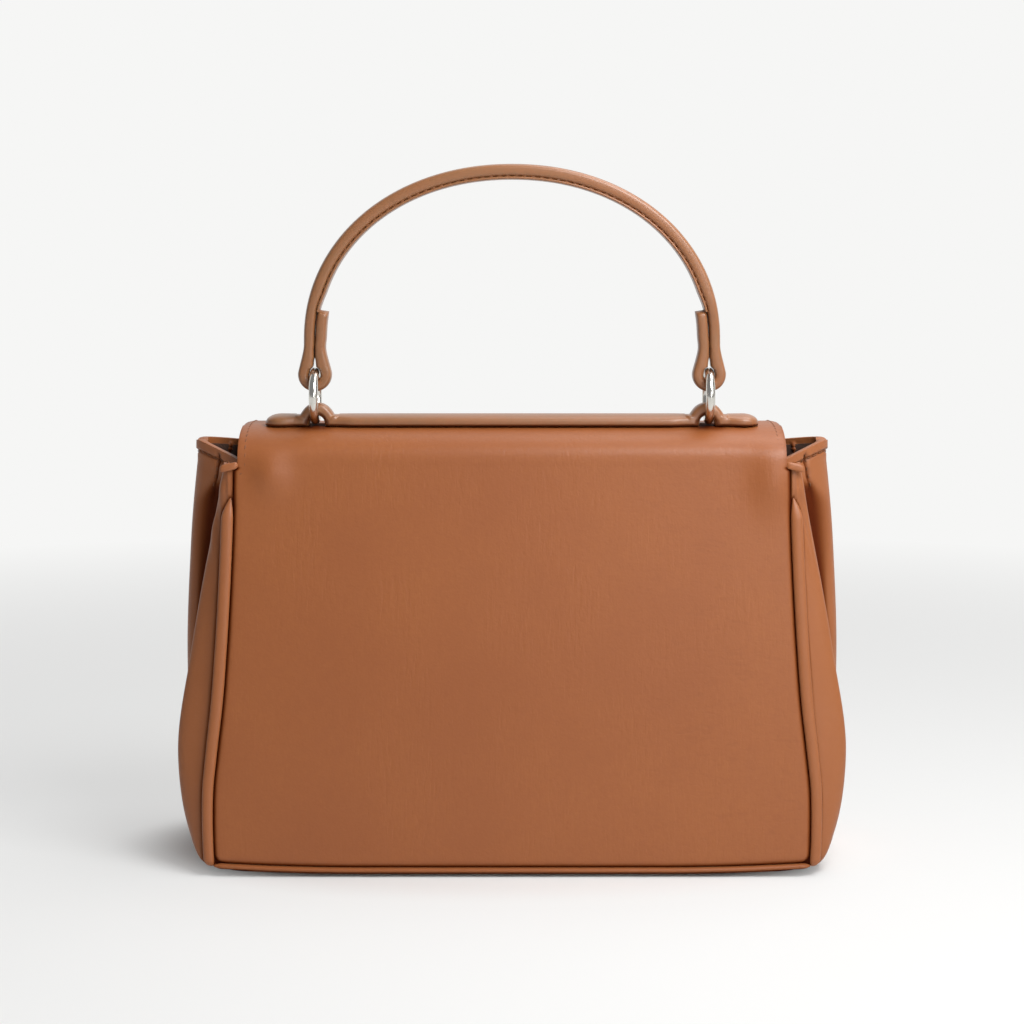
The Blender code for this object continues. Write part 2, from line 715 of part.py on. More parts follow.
def arch_lines(centre, spread):
    """The strap's underside and upper face over a ring, as pairs of points that face each other.

    The underside is a tunnel: a foot arc, a short wall and a half circle. The upper face is a
    larger half circle about the same middle, which runs out into the strap in a fillet.
    """
    turn = np.linspace(0, math.pi / 2, 4)
    foot = np.stack([
        -ARCH_RADIUS - ARCH_FOOT_RADIUS * (1 - np.sin(turn)), ARCH_FOOT_RADIUS * (1 - np.cos(turn)),
    ], axis=1)
    over = np.linspace(math.pi, math.pi / 2, spread)
    round_part = np.stack([
        ARCH_RADIUS * np.cos(over), ARCH_SPRING_HEIGHT + ARCH_RADIUS * np.sin(over),
    ], axis=1)
    under = np.concatenate([foot, round_part])
    outer = ARCH_RADIUS + ARCH_THICKNESS
    start = outer + ARCH_FILLET
    x = -start * np.cos(np.linspace(0, math.pi / 2, len(under)))
    crown = ARCH_SPRING_HEIGHT + np.sqrt(np.clip(outer**2 - x**2, 0, None))
    apart = np.clip(ARCH_FILLET - np.abs(crown - STRAP_THICKNESS), 0, None)
    upper = np.stack([x, np.maximum(crown, STRAP_THICKNESS) + apart**2 / (4 * ARCH_FILLET)], axis=1)
    under = np.concatenate([under, under[-2::-1] * np.array([-1, 1])])
    upper = np.concatenate([upper, upper[-2::-1] * np.array([-1, 1])])
    return under + np.array([centre, 0]), upper + np.array([centre, 0])


def ring_x():
    return RING_SPACING / 2


def ring_height():
    return crown_height(STRAP_Y) + RING_SEAT_GAP + RING_OUTER_DIAMETER / 2


def build_base_strap(parent):
    """The padded strap. Its underside follows the crown, and lies flat where it arches."""
    centre = ring_x() - ARCH_OFFSET
    arch_under, arch_upper = arch_lines(centre, 6)
    reach = STRAP_LENGTH / 2
    edge = ARCH_RADIUS + ARCH_THICKNESS + ARCH_FILLET
    outside = np.linspace(centre + edge, reach, 7)[1:]
    inside = np.linspace(0, centre - edge, 6)[:-1]
    under = np.concatenate([
        np.stack([inside, 0 * inside], axis=1), arch_under, np.stack([outside, 0 * outside], axis=1),
    ])
    upper = np.concatenate([
        np.stack([inside, np.full_like(inside, STRAP_THICKNESS)], axis=1), arch_upper,
        np.stack([outside, np.full_like(outside, STRAP_THICKNESS)], axis=1),
    ])
    under = np.concatenate([under[:0:-1] * np.array([-1, 1]), under])
    upper = np.concatenate([upper[:0:-1] * np.array([-1, 1]), upper])
    near_arch = smooth_step(1.6 - np.abs(np.abs(upper[:, 0]) - centre) / edge)
    end = np.clip((reach - np.abs(upper[:, 0])) / STRAP_END_TAPER, 0.02, 1)
    taper = np.sqrt(1 - (1 - end) ** 2)
    width = (STRAP_WIDTH + (ARCH_WIDTH - STRAP_WIDTH) * near_arch) * taper
    upper[:, 1] *= 0.45 + 0.55 * taper
    seat = crown_height(STRAP_Y) + GAP
    rings = []
    for low, high, wide in zip(under, upper, width):
        section = soft_section(wide, 1.0, 10, 2.8)
        place = high + (high - low) * section[:, 1:]
        fall = crown_height(STRAP_Y + section[:, 0]) - crown_height(STRAP_Y)
        fall = fall * (1 - smooth_step(low[1] / ARCH_FOOT_RADIUS))
        rings.append(np.stack([place[:, 0], STRAP_Y + section[:, 0], seat + place[:, 1] + fall], axis=1))
    return swept("base_strap", rings, leather(), parent)


def build_ring(name, x):
    """A closed ring in the YZ plane. It turns about its own axis, so its origin is its centre."""
    wire = RING_WIRE / 2
    bpy.ops.mesh.primitive_torus_add(
        major_segments=40, minor_segments=10, major_radius=RING_OUTER_DIAMETER / 2 - wire,
        minor_radius=wire, location=(x, STRAP_Y, ring_height()), rotation=(0, math.pi / 2, 0),
    )
    made = bpy.context.object
    made.name = name
    made.data.materials.append(nickel())
    made.data.shade_smooth()
    return made


def handle_arch(samples):
    """Outer face of the handle from its top to the right-hand spring line."""
    angle = np.linspace(math.pi / 2, 0, samples)
    power = 2 / HANDLE_SQUARENESS
    x = HANDLE_SPAN / 2 * np.abs(np.cos(angle)) ** power
    z = ring_height() + HANDLE_SPRING_HEIGHT + HANDLE_RISE * np.abs(np.sin(angle)) ** power
    return np.stack([x, z], axis=1)


def loop_centre():
    return ring_height() + RING_OUTER_DIAMETER / 2 - RING_WIRE / 2 - LOOP_DROP


def handle_loop():
    """Outer face of the strap's end: down the outside, round under the ring, and up as a tab.

    The tab runs up against the inner face of the strap, with only a gap between them.
    """
    outer = LOOP_HOLE / 2 + HANDLE_STRAP
    centre = (ring_x(), loop_centre())
    neck = centre[1] + NECK_RISE
    angle = np.radians(np.linspace(18, -198, 15))
    loop = np.stack([centre[0] + outer * np.cos(angle), centre[1] + outer * np.sin(angle)], axis=1)
    neck_outer = centre[0] + GAP / 2 + HANDLE_STRAP
    arch = handle_arch(60)[::-1]
    heights = neck + TAB_LENGTH * np.array([0, 0.35, 0.7, 1.0])
    line_z = np.concatenate([[neck], arch[:, 1]])
    line_x = np.concatenate([[neck_outer], arch[:, 0]])
    slope = np.gradient(np.interp(heights, line_z, line_x), heights)
    apart = (2 * HANDLE_STRAP + GAP) * np.sqrt(1 + slope**2)
    up = np.stack([np.interp(heights, line_z, line_x) - apart, heights], axis=1)
    return np.concatenate([[(neck_outer, neck)], loop, up])


def even_path(points, spacing):
    """Points at an even spacing along a smooth curve through the given ones."""
    fine = through(points, 40 * len(points))
    step = np.concatenate([[0], np.cumsum(np.linalg.norm(np.diff(fine, axis=0), axis=1))])
    even = np.linspace(0, step[-1], max(2, round(step[-1] / spacing)) + 1)
    return np.stack([np.interp(even, step, fine[:, 0]), np.interp(even, step, fine[:, 1])], axis=1)


def mirrored(half):
    """A path from one side to the other, from its right half, which starts on the middle line."""
    other = half[:0:-1] * np.array([-1, 1])
    return np.concatenate([other, half])


def grooved_strip(name, path, y, widths, thickness, groove_widths, groove_depths, finish, parent):
    """A strip with a channel along the middle of its inner face."""
    normals = path_normals(path)
    rings = []
    for place, normal, width, across_it, depth in zip(path, normals, widths, groove_widths, groove_depths):
        section = soft_section(width, thickness, 10, 4.0)
        middle = int(np.argmin(section[:, 1]))
        half = across_it / 2
        channel = np.array([
            (-half, -thickness), (-half, depth - thickness), (half, depth - thickness), (half, -thickness),
        ])
        section = np.concatenate([section[:middle], channel, section[middle + 1:]])
        rings.append(np.stack([
            place[0] + normal[0] * section[:, 1], y + section[:, 0], place[1] + normal[1] * section[:, 1],
        ], axis=1))
    return swept(name, rings, finish, parent)


def both_sides(values):
    """Values along the whole handle, from those along its right half."""
    return np.concatenate([values[:0:-1], values])


def build_handle(parent):
    arch = handle_arch(25)
    loop = handle_loop()
    gentle = even_path(arch, HANDLE_STEP)
    tight = even_path(np.concatenate([arch[-1:], loop]), LOOP_STEP)
    half = np.concatenate([gentle[:-1], tight])
    neck = loop_centre() + NECK_RISE
    tab_top = neck + TAB_LENGTH
    on_tab = np.arange(len(half)) >= len(half) - round(TAB_LENGTH / LOOP_STEP)
    lower_half = smooth_step((neck + 5 * HANDLE_STRAP - half[:, 1]) / (4 * HANDLE_STRAP))
    width = HANDLE_WIDTH + (LOOP_WIDTH - HANDLE_WIDTH) * lower_half
    climb = np.clip((half[:, 1] - neck) / TAB_LENGTH, 0, 1)
    tab_end = np.sqrt(1 - np.clip((climb - 0.75) / 0.28, 0, 1) ** 2)
    width = np.where(on_tab, (LOOP_WIDTH + (TAB_WIDTH - LOOP_WIDTH) * climb) * tab_end, width)
    full = smooth_step((half[:, 1] - tab_top) / TAB_LENGTH)
    core = HANDLE_CORE * (0.45 + 0.55 * full)
    groove = GAP + core * np.where(on_tab, 0.0, smooth_step(climb))
    groove_width = (HANDLE_CORE_WIDTH + 2 * GAP) * width / HANDLE_WIDTH
    grooved_strip(
        "handle_strap", mirrored(half), STRAP_Y, both_sides(width), HANDLE_STRAP,
        both_sides(groove_width), both_sides(groove), leather(), parent,
    )
    above = (half[:, 1] > tab_top + LINING_CLEARANCE) & ~on_tab
    upper = mirrored(half[above])
    thickness = both_sides(core[above])
    strip(
        "handle_core", upper, STRAP_Y, both_sides(groove_width[above]) - 2 * GAP, thickness,
        material("cotton_filler", FILLER_COLOUR, CLOTH_ROUGHNESS), parent, 8, 2.2,
        HANDLE_STRAP - thickness,
    )
    lining_width = HANDLE_LINING_WIDTH * width[above] / HANDLE_WIDTH
    strip(
        "handle_lining", upper, STRAP_Y, both_sides(lining_width), np.full(len(upper), HANDLE_LINING),
        leather(), parent, 8, 4.0, HANDLE_STRAP + GAP,
    )


def clear_scene():
    for made in list(bpy.data.objects):
        bpy.data.objects.remove(made, do_unlink=True)


def main():
    clear_scene()
    crown_pivot = pivot("flap_crown_pivot", (0, -MOUTH_DEPTH / 2, BODY_HEIGHT + GAP / 2))
    drop_pivot = pivot("flap_drop_pivot", (0, fold_y(), BODY_HEIGHT + GAP / 2))
    handle_pivot = pivot("handle_pivot", (0, STRAP_Y, ring_height()))
    build_panels()
    build_base()
    build_base_welts()
    build_side_welts()
    build_gussets()
    build_lining()
    build_pocket()
    build_flap(crown_pivot, drop_pivot)
    build_snap(drop_pivot)
    build_base_strap(crown_pivot)
    build_ring("ring_left", -ring_x())
    build_ring("ring_right", ring_x())
    build_handle(handle_pivot)


main()
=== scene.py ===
"""The looks of a small top-handle flap bag in smooth tan leather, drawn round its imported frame.

Every piece is a surface worked out from two parameters: a place along it and a place across
it. Lengths are in metres. The bag's back faces -Y, as in the frame.
"""

import json
import math

import bpy
import numpy as np
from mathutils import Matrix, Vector


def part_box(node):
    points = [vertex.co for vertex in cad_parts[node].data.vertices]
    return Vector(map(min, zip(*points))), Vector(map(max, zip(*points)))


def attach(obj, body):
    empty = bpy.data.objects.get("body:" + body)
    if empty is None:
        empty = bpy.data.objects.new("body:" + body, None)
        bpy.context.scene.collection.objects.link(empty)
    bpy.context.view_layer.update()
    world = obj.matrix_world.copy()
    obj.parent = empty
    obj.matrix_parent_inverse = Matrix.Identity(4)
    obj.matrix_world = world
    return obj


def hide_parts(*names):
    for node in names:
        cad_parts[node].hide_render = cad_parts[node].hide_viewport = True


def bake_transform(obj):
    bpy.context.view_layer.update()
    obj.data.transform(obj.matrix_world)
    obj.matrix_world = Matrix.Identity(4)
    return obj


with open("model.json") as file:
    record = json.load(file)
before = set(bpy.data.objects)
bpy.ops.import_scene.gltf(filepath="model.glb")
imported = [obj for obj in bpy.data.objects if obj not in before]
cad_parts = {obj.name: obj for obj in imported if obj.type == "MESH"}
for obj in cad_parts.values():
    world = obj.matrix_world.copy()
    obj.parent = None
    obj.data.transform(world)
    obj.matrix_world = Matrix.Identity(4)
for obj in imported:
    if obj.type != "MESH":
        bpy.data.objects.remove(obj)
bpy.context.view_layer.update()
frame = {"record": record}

bl_info = {
    "name": "Top-handle flap bag",
    "version": (1, 0, 0),
    "blender": (4, 5, 0),
    "location": "3D Viewport > Sidebar > Bag",
    "description": "Builds a small leather flap bag with pleated gussets and a top handle",
    "category": "Add Mesh",
}

HINGES = {joint["name"]: joint["pos_m"] for joint in frame["record"]["behaviour"]["joints"]}
SIDES = (("left", -1), ("right", 1))
FACES = (("back", -1), ("front", 1))

# The body's planes, read from the frame.
PANEL_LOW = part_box("back_panel")[0][2]
BODY_TOP = HINGES["flap_lift"][2] - 0.00015
FRONT_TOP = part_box("front_panel")[1][2]
MOUTH_HALF = -HINGES["flap_lift"][1]
BASE_HALF = MOUTH_HALF + 0.0215
PANEL_SLOPE = math.atan((BASE_HALF - MOUTH_HALF) / BODY_TOP)
FOLD_Y = HINGES["flap_front_fold"][1]
DROP_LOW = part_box("flap_drop")[0][2]
FLAP_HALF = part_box("flap_drop")[1][0]
FLAP_CORNER = 0.030
STRAP_Y = HINGES["handle_tilt"][1]
RING_Z = HINGES["handle_tilt"][2]
RING_X = HINGES["ring_right_spin"][0]

# Thicknesses, and the gap kept between layers.
LEATHER = 0.0018
GUSSET_LEATHER = 0.0015
FLAP_LEATHER = 0.0015
CLOTH = 0.0006
CLEAR = 0.0003

# Half the panels' width by share of body height, as drawn and if their sides were straight.
PANEL_OUTLINE = (
    (0.0, 0.1203), (0.06, 0.1209), (0.13, 0.1212), (0.21, 0.1209), (0.27, 0.1199), (0.33, 0.1188),
    (0.405, 0.1174), (0.54, 0.1157), (0.68, 0.1144), (0.84, 0.1133), (1.0, 0.1127),
)
PANEL_BASE_HALF = 0.121
PANEL_TOP_HALF = 0.1125

# The panels' lower edge: its height, its corners' radius and the rows of points next to it.
PANEL_FOOT = PANEL_LOW + 0.0001
PANEL_CORNER = 0.0034
PANEL_FIRST_ROWS = np.array([0, 0.0004, 0.001, 0.0018, 0.0028, 0.004])

# How far a panel's leather falls at a side seam, a lower seam and a free edge, and over what
# run. Then how wide the seams are shaded, and how far the back and the front panel swell.
SIDE_FALL = (0.0011, 0.0009)
LOW_FALL = (0.0010, 0.0009)
FREE_FALL = (0.0003, 0.0008)
SIDE_SHADE = 0.0010
LOW_SHADE = 0.0009
SWELL_BACK = 0.0011
SWELL_FRONT = 0.0004

# The back's two bulges: middle across, middle up, half width and half height.
BULGE_DEPTH = 0.0022
BULGES = ((-0.0985, 0.1625, 0.0070, 0.0085), (0.1060, 0.1600, 0.0075, 0.0120))

# Crown of the flap, and the base's lift towards its ends.
CROWN_RISE = 0.0155
CROWN_POWER = 2.5
CROWN_MIDDLE = (FOLD_Y - MOUTH_HALF) / 2
CROWN_HALF = (FOLD_Y + MOUTH_HALF) / 2
BASE_RISE = 0.0024
BASE_FLAT_HALF = 0.060
BASE_END = 0.1275

# Gusset: reach past the panel's edge by share of body height, for each fold.
CREST_REACH = (
    (0.0, 0.0070), (0.13, 0.0140), (0.28, 0.0180), (0.53, 0.0150), (0.80, 0.0096), (1.0, 0.0048),
)
VALLEY_REACH = (
    (0.0, 0.0070), (0.13, 0.0118), (0.30, 0.0098), (0.53, 0.0042), (0.80, 0.0012), (1.0, -0.0018),
)
WING_REACH = (
    (0.0, 0.0070), (0.13, 0.0145), (0.30, 0.0180), (0.53, 0.0205), (0.80, 0.0200), (1.0, 0.0184),
)
BACK_RIM_RISE = (-0.0015, 0.0004, 0.0012, 0.0010, 0.0083, 0.0079)
FRONT_RIM_RISE = (-0.0015, 0.0004, 0.0026, 0.0060, 0.0089, 0.0079)
LAST_PLACE = 10

# Gusset: the place across it and the line up it in which each leaf is pinched, the distance
# of the stitches from the rim, and the height to which the leaf's own folds run.
PINCH = 3.35
FOLD_HEIGHTS = (0.080, 0.112, 0.136, 0.148, 0.155, 0.163, 0.172)
FOLD_REACHES = (0.0170, 0.0140, 0.0116, 0.0108, 0.0104, 0.0092, 0.0077)
RIM_SEAM = 0.0046
LEAF_TOP = 0.163

# Gusset: how far its leather stands out or lies deep, and the rounding of its edges.
RIM_TURN = 0.00060
RIM_GROOVE = 0.00050
PINCH_DEPTH = 0.0011
PUCKER = 0.00024
GATHER = 0.00035
SAG = 0.0007
LEAF_FOLD = 0.00042
LEAF_FORWARD = 0.0015
GUSSET_ROUND = 0.00035

# Welts.
WELT_TIP = 0.1525
WELT_LOW = PANEL_LOW - 0.0016
WELT_WIDTH = 0.0049
WELT_THICKNESS = 0.0031
PIPING_HEIGHT = 0.0021
PIPING_DEPTH = 0.0040
PIPING_LIFT = 0.0015

# Strap, rings and handle.
STRAP_TOP = 0.0045
STRAP_REACH = 0.102
STRAP_WIDTH = 0.012
ARCH_WIDTH = 0.0088
ARCH_X = RING_X - 0.0008
WIRE = 0.0019
RING_OUTER = 0.0118
LOOP_Z = RING_Z + RING_OUTER - WIRE - 0.0010
LOOP_HOLE = 0.0047
NECK_RISE = 0.0100
TAB_LENGTH = 0.0160
TAB_TOP = LOOP_Z + NECK_RISE + TAB_LENGTH
HANDLE_STRAP = 0.0046
HANDLE_HALF = 0.0858
HANDLE_RISE = 0.0723
HANDLE_SPRING = RING_Z + 0.0227
HANDLE_POWER = 2.08
HANDLE_WIDTH = 0.011
HANDLE_FILLING = 0.0008
LOOP_WIDTH = 0.0080
TAB_WIDENING = 0.0015
TAB_GAP = 0.00016
STRIP_THICKNESS = 0.0014
STRIP_SUNK = 0.0004

# Stitches: how far a row lies inside the flap's edge, their lengths, and a slant in radians.
FLAP_INSET = 0.0030
LONG_STITCH = 0.0025
HANDLE_STITCH = 0.0019
SHORT_STITCH = 0.0016
STITCH_TILT = 0.12
# A stitch's spindle: places by its length, then radii and heights by the thread's thickness.
STITCH_PLACES = np.array([-0.5, -0.42, -0.2, 0.2, 0.42, 0.5])
STITCH_RADII = np.array([0.35, 0.8, 1.0, 1.0, 0.8, 0.35]) / 2
STITCH_HEIGHTS = np.array([-0.55, -0.1, 0.05, 0.05, -0.1, -0.55])


def linear(hex_colour):
    """An sRGB hex colour as linear red, green, blue and an alpha of one."""
    parts = [int(hex_colour[i:i + 2], 16) / 255 for i in (1, 3, 5)]
    parts = [c / 12.92 if c <= 0.04045 else ((c + 0.055) / 1.055) ** 2.4 for c in parts]
    return (*parts, 1.0)


def darker(colour, share):
    """The same colour at a share of its light."""
    return tuple(share * c for c in colour[:3]) + (1.0,)


def length_property(name, description, default, least):
    """A length in metres that can be set in the panel."""
    return bpy.props.FloatProperty(
        name=name, description=description, default=default, min=least, unit="LENGTH",
    )


def colour_property(name, description, hex_colour):
    """A colour that can be set in the panel, from its sRGB hex."""
    return bpy.props.FloatVectorProperty(
        name=name, description=description, default=linear(hex_colour), subtype="COLOR", size=4,
    )


class BagSizes(bpy.types.PropertyGroup):
    """Sizes of the making-up: thread, stitches, edges and grain."""

    stitch_pitch: length_property("Stitch pitch", "From one stitch to the next", 0.0034, 0.001)
    thread: length_property("Thread", "Thickness of the sewing thread", 0.00055, 0.0001)
    edge_round: length_property("Edge rounding", "Radius of the panels' burnished edges", 0.0003, 0)
    grain: length_property("Grain", "Width of one cell of the leather's grain", 0.0009, 0.0001)


class BagColours(bpy.types.PropertyGroup):
    """Colours of the leather, its edges, thread, lining and metal."""

    leather: colour_property("Leather", "Face of the tan leather", "#95562B")
    leather_deep: colour_property("Deep leather", "Where the dye sits thicker", "#8B4D27")
    # The crease colour also serves as painted shade in folds and recesses, beneath the rings and
    # along the base's edge.
    crease: colour_property("Crease", "Leather in grooves, folds and along seams", "#481606")
    edge: colour_property("Edge", "Turned and burnished leather edges", "#965A34")
    strap: colour_property("Strap", "Rolled leather of the handle and its strap", "#865C3A")
    thread: colour_property("Thread", "Sewing thread", "#85502C")
    lining: colour_property("Lining", "Lining cloth", "#5B3A2A")
    nickel: colour_property("Metal", "Polished nickel", "#D9D6CF")
    board: colour_property("Board", "Fibre board inside the panels", "#B39C79")
    floor: colour_property("Floor", "Studio floor and backdrop", "#F6F6F5")


# Curves and surfaces


def fade(value, zero_at, one_at):
    """0 up to one place, 1 past the other and a smooth cubic between, whichever is higher."""
    t = np.clip((value - zero_at) / (one_at - zero_at), 0.0, 1.0)
    return t * t * (3 - 2 * t)


def bell(distance, width, power=2):
    """1 at no distance, and an even fall towards 0 on both sides, over about the width."""
    return np.exp(-(np.abs(distance) / width) ** power)


def slow_start(count):
    """Shares from 0 to 1 that start close together: one minus the cosine of a quarter turn."""
    return 1 - np.cos(np.linspace(0, math.pi / 2, count))


def superellipse(angle, power):
    """The cosine and sine of an angle, pushed out towards a square as the power grows past 2."""
    return [np.sign(v) * np.abs(v) ** (2 / power) for v in (np.cos(angle), np.sin(angle))]


def spline_weights(count, places):
    """Catmull-Rom weights. places run from 0 to count - 1; row i gives the curve at places[i]."""
    places = np.asarray(places, float)
    start = np.clip(places.astype(int), 0, count - 2)
    t = places - start
    basis = np.stack([
        -0.5 * t**3 + t**2 - 0.5 * t,
        1.5 * t**3 - 2.5 * t**2 + 1,
        -1.5 * t**3 + 2 * t**2 + 0.5 * t,
        0.5 * t**3 - 0.5 * t**2,
    ], axis=1)
    weights = np.zeros((len(places), count))
    for step in range(4):
        point = np.clip(start + step - 1, 0, count - 1)
        np.add.at(weights, (np.arange(len(places)), point), basis[:, step])
    return weights


def through(points, samples):
    """A smooth curve through the points."""
    points = np.asarray(points, float)
    return spline_weights(len(points), np.linspace(0, len(points) - 1, samples)) @ points


def lengths_along(points):
    """The length of a line from its start to each of its points."""
    return np.concatenate([[0], np.cumsum(np.linalg.norm(np.diff(points, axis=0), axis=1))])


def values_at(wanted, places, values):
    """Each column of the values, read off at the wanted places."""
    return np.stack([np.interp(wanted, places, column) for column in values.T], axis=1)


def evenly(points, spacing):
    """The same line with its points at an even spacing."""
    run = lengths_along(points)
    count = max(2, round(run[-1] / spacing)) + 1
    return values_at(np.linspace(0, run[-1], count), run, points)


def reach_at(table, share):
    """A value at a share of the body's height: a cubic between rows, with matching slopes."""
    shares, values = np.array(table).T
    slopes = np.gradient(values, shares)
    share = np.clip(share, 0.0, 1.0)
    index = np.clip(np.searchsorted(shares, share, side="right") - 1, 0, len(shares) - 2)
    width = shares[index + 1] - shares[index]
    t = (share - shares[index]) / width
    return (
        (2 * t**3 - 3 * t**2 + 1) * values[index] + (t**3 - 2 * t**2 + t) * width * slopes[index]
        + (3 * t**2 - 2 * t**3) * values[index + 1] + (t**3 - t**2) * width * slopes[index + 1]
    )


def half_depth(z):
    """Half the bag's depth at a height: the panels lean in towards the mouth."""
    return BASE_HALF + (MOUTH_HALF - BASE_HALF) * z / BODY_TOP


def straight_half(z):
    """Half the panels' width if their sides were straight. The gusset's folds start from it."""
    z = np.minimum(z, BODY_TOP)
    return PANEL_BASE_HALF + (PANEL_TOP_HALF - PANEL_BASE_HALF) * z / BODY_TOP


def panel_half(z):
    """Half the panels' width at a height: full in the lowest third, and drawn in above."""
    return reach_at(PANEL_OUTLINE, z / BODY_TOP)


def across(thickness):
    """The depth that a thickness takes up in a leaning panel."""
    return thickness / math.cos(PANEL_SLOPE)


def settle(points):
    """Lifts the base towards its ends by a square law, and what is above it less and less."""
    points = np.array(points, float)
    out = np.clip((np.abs(points[..., 0]) - BASE_FLAT_HALF) / (BASE_END - BASE_FLAT_HALF), 0, 1)
    points[..., 2] += BASE_RISE * out**2 * np.clip(1 - points[..., 2] / BODY_TOP, 0, 1)
    return points


def corner_cut(distance, radius):
    """How much a rounded corner narrows a sheet at a distance from the edge that it meets."""
    into = np.clip(radius - distance, 0, radius)
    return radius - np.sqrt(radius**2 - into**2)


def spread_to_edges(inner):
    """Places from -1 to 1 across a sheet, close together near both edges."""
    fine = np.array([0, 0.002, 0.005, 0.009, 0.014, 0.021, 0.030, 0.042, 0.058])
    return np.concatenate([-1 + fine, np.linspace(-0.92, 0.92, inner), 1 - fine[::-1]])


def mirrored(half):
    """A whole line from its right half, which starts on the middle plane."""
    return np.concatenate([half[:0:-1] * np.array([-1, 1]), half])


def both_sides(half):
    """Values along a whole line from those along its right half."""
    return np.concatenate([half[:0:-1], half])


def points_of(x, y, z):
    """A grid of points from its three coordinates, each repeated as far as the others need."""
    return np.stack(np.broadcast_arrays(x, y, z), axis=-1)


def path_normals(path):
    """Unit normals of a line in a plane, on the left of its direction."""
    along = np.gradient(path, axis=0)
    along /= np.linalg.norm(along, axis=1, keepdims=True)
    return np.stack([-along[:, 1], along[:, 0]], axis=1)


def grid_normals(grid, towards, at, wrap=False):
    """Unit normals of a grid of points, with the one at a row and column turned to a direction."""
    down = np.gradient(grid, axis=0)
    over = np.gradient(grid, axis=1)
    if wrap:
        over = (np.roll(grid, -1, axis=1) - np.roll(grid, 1, axis=1)) / 2
    normals = np.cross(over, down)
    normals = normals / np.maximum(np.linalg.norm(normals, axis=-1, keepdims=True), 1e-12)
    return normals if normals[at] @ np.asarray(towards, float) > 0 else -normals


# Meshes


def quads_of(rows, columns, wrap=False, closed=False):
    """The four corners of each face of a grid, closed round its columns or its rows if asked."""
    index = np.arange(rows * columns).reshape(rows, columns)
    if closed:
        index = np.concatenate([index, index[:1]])
    after = np.roll(index, -1, axis=1) if wrap else index[:, 1:]
    before = index if wrap else index[:, :-1]
    return np.stack([before[:-1], after[:-1], after[1:], before[1:]], axis=-1).reshape(-1, 4)


def make_mesh(name, points, faces):
    """A mesh object from whole arrays of points and of faces."""
    mesh = bpy.data.meshes.new(name)
    mesh.from_pydata(np.asarray(points, float).reshape(-1, 3), [], [tuple(face) for face in faces])
    mesh.validate()
    made = bpy.data.objects.new(name, mesh)
    bpy.context.scene.collection.objects.link(made)
    return made


def volume_of(mesh):
    """Signed volume under the faces: negative where a closed mesh is inside out."""
    mesh.calc_loop_triangles()
    points = np.empty(len(mesh.vertices) * 3, np.float32)
    mesh.vertices.foreach_get("co", points)
    corners = np.empty(len(mesh.loop_triangles) * 3, np.int32)
    mesh.loop_triangles.foreach_get("vertices", corners)
    a, b, c = np.moveaxis(points.reshape(-1, 3)[corners.reshape(-1, 3)], 1, 0)
    return float((a * np.cross(b, c)).sum() / 6)


def shade(mesh, sharp_past):
    """Smooth shading, with edges sharper than an angle in degrees kept sharp."""
    mesh.shade_smooth()
    mesh.set_sharp_from_angle(angle=math.radians(sharp_past))


def finish_piece(made, finish, sharp_past=50):
    """Gives a piece its finish and shading, and turns it right side out if it is closed."""
    mesh = made.data
    if volume_of(mesh) < 0:
        mesh.flip_normals()
    mesh.materials.append(finish_named(finish))
    shade(mesh, sharp_past)
    return made


def seam_values(made, values):
    """Stores how dark the finish makes each point, from 0 to 1: near a seam or an edge, and where
    painted shade stands in folds, recesses and under parts.
    """
    attribute = made.data.attributes.new("seam", "FLOAT", "POINT")
    attribute.data.foreach_set("value", np.asarray(values, np.float32).ravel())


def sheet_piece(name, outer, inner, finish, seam=None, rounding=0.0):
    """A thin solid between two grids, with its four borders closed and its edges rounded."""
    rows, columns = outer.shape[:2]
    count = rows * columns
    index = np.arange(count).reshape(rows, columns)
    top = quads_of(rows, columns)
    rim = np.concatenate([index[0], index[1:, -1], index[-1, -2::-1], index[-2:0:-1, 0]])
    following = np.roll(rim, -1)
    walls = np.stack([rim, rim + count, following + count, following], axis=-1)
    faces = np.concatenate([top, top[:, ::-1] + count, walls])
    made = make_mesh(name, np.concatenate([outer.reshape(-1, 3), inner.reshape(-1, 3)]), faces)
    if seam is not None:
        seam_values(made, np.concatenate([seam.ravel(), seam.ravel()]))
    finish_piece(made, finish)
    if rounding:
        round_edges(made, rounding)
    return made


def round_edges(made, width):
    """Rounds the sharp edges of a piece and keeps the result in its mesh."""
    bevel = made.modifiers.new("Rounding", "BEVEL")
    bevel.width = width
    bevel.segments = 2
    bevel.limit_method = "ANGLE"
    bevel.angle_limit = math.radians(50)
    bevel.harden_normals = False
    graph = bpy.context.evaluated_depsgraph_get()
    mesh = bpy.data.meshes.new_from_object(made.evaluated_get(graph))
    made.modifiers.clear()
    made.data = mesh
    shade(mesh, 60)


def swept_piece(name, rings, finish, seam=None, closed=False):
    """A tube lofted through rings of points, an array of (ring, corner, 3), with capped ends."""
    count, corners = rings.shape[:2]
    faces = [tuple(face) for face in quads_of(count, corners, wrap=True, closed=closed)]
    if not closed:
        faces.append(tuple(range(corners))[::-1])
        faces.append(tuple(range((count - 1) * corners, count * corners)))
    made = make_mesh(name, rings, faces)
    if seam is not None:
        seam_values(made, np.broadcast_to(seam, (count, corners)))
    return finish_piece(made, finish)


def soft_section(width, thickness, points, power):
    """A cushioned rectangle as (across, through) points, from 0 on its outer face inwards."""
    angle = np.linspace(0, 2 * math.pi, points, endpoint=False) + math.pi / points
    side, through_it = superellipse(angle, power)
    width, thickness = np.asarray(width)[..., None], np.asarray(thickness)[..., None]
    return np.stack([side * width / 2, (through_it - 1) * thickness / 2], axis=-1)


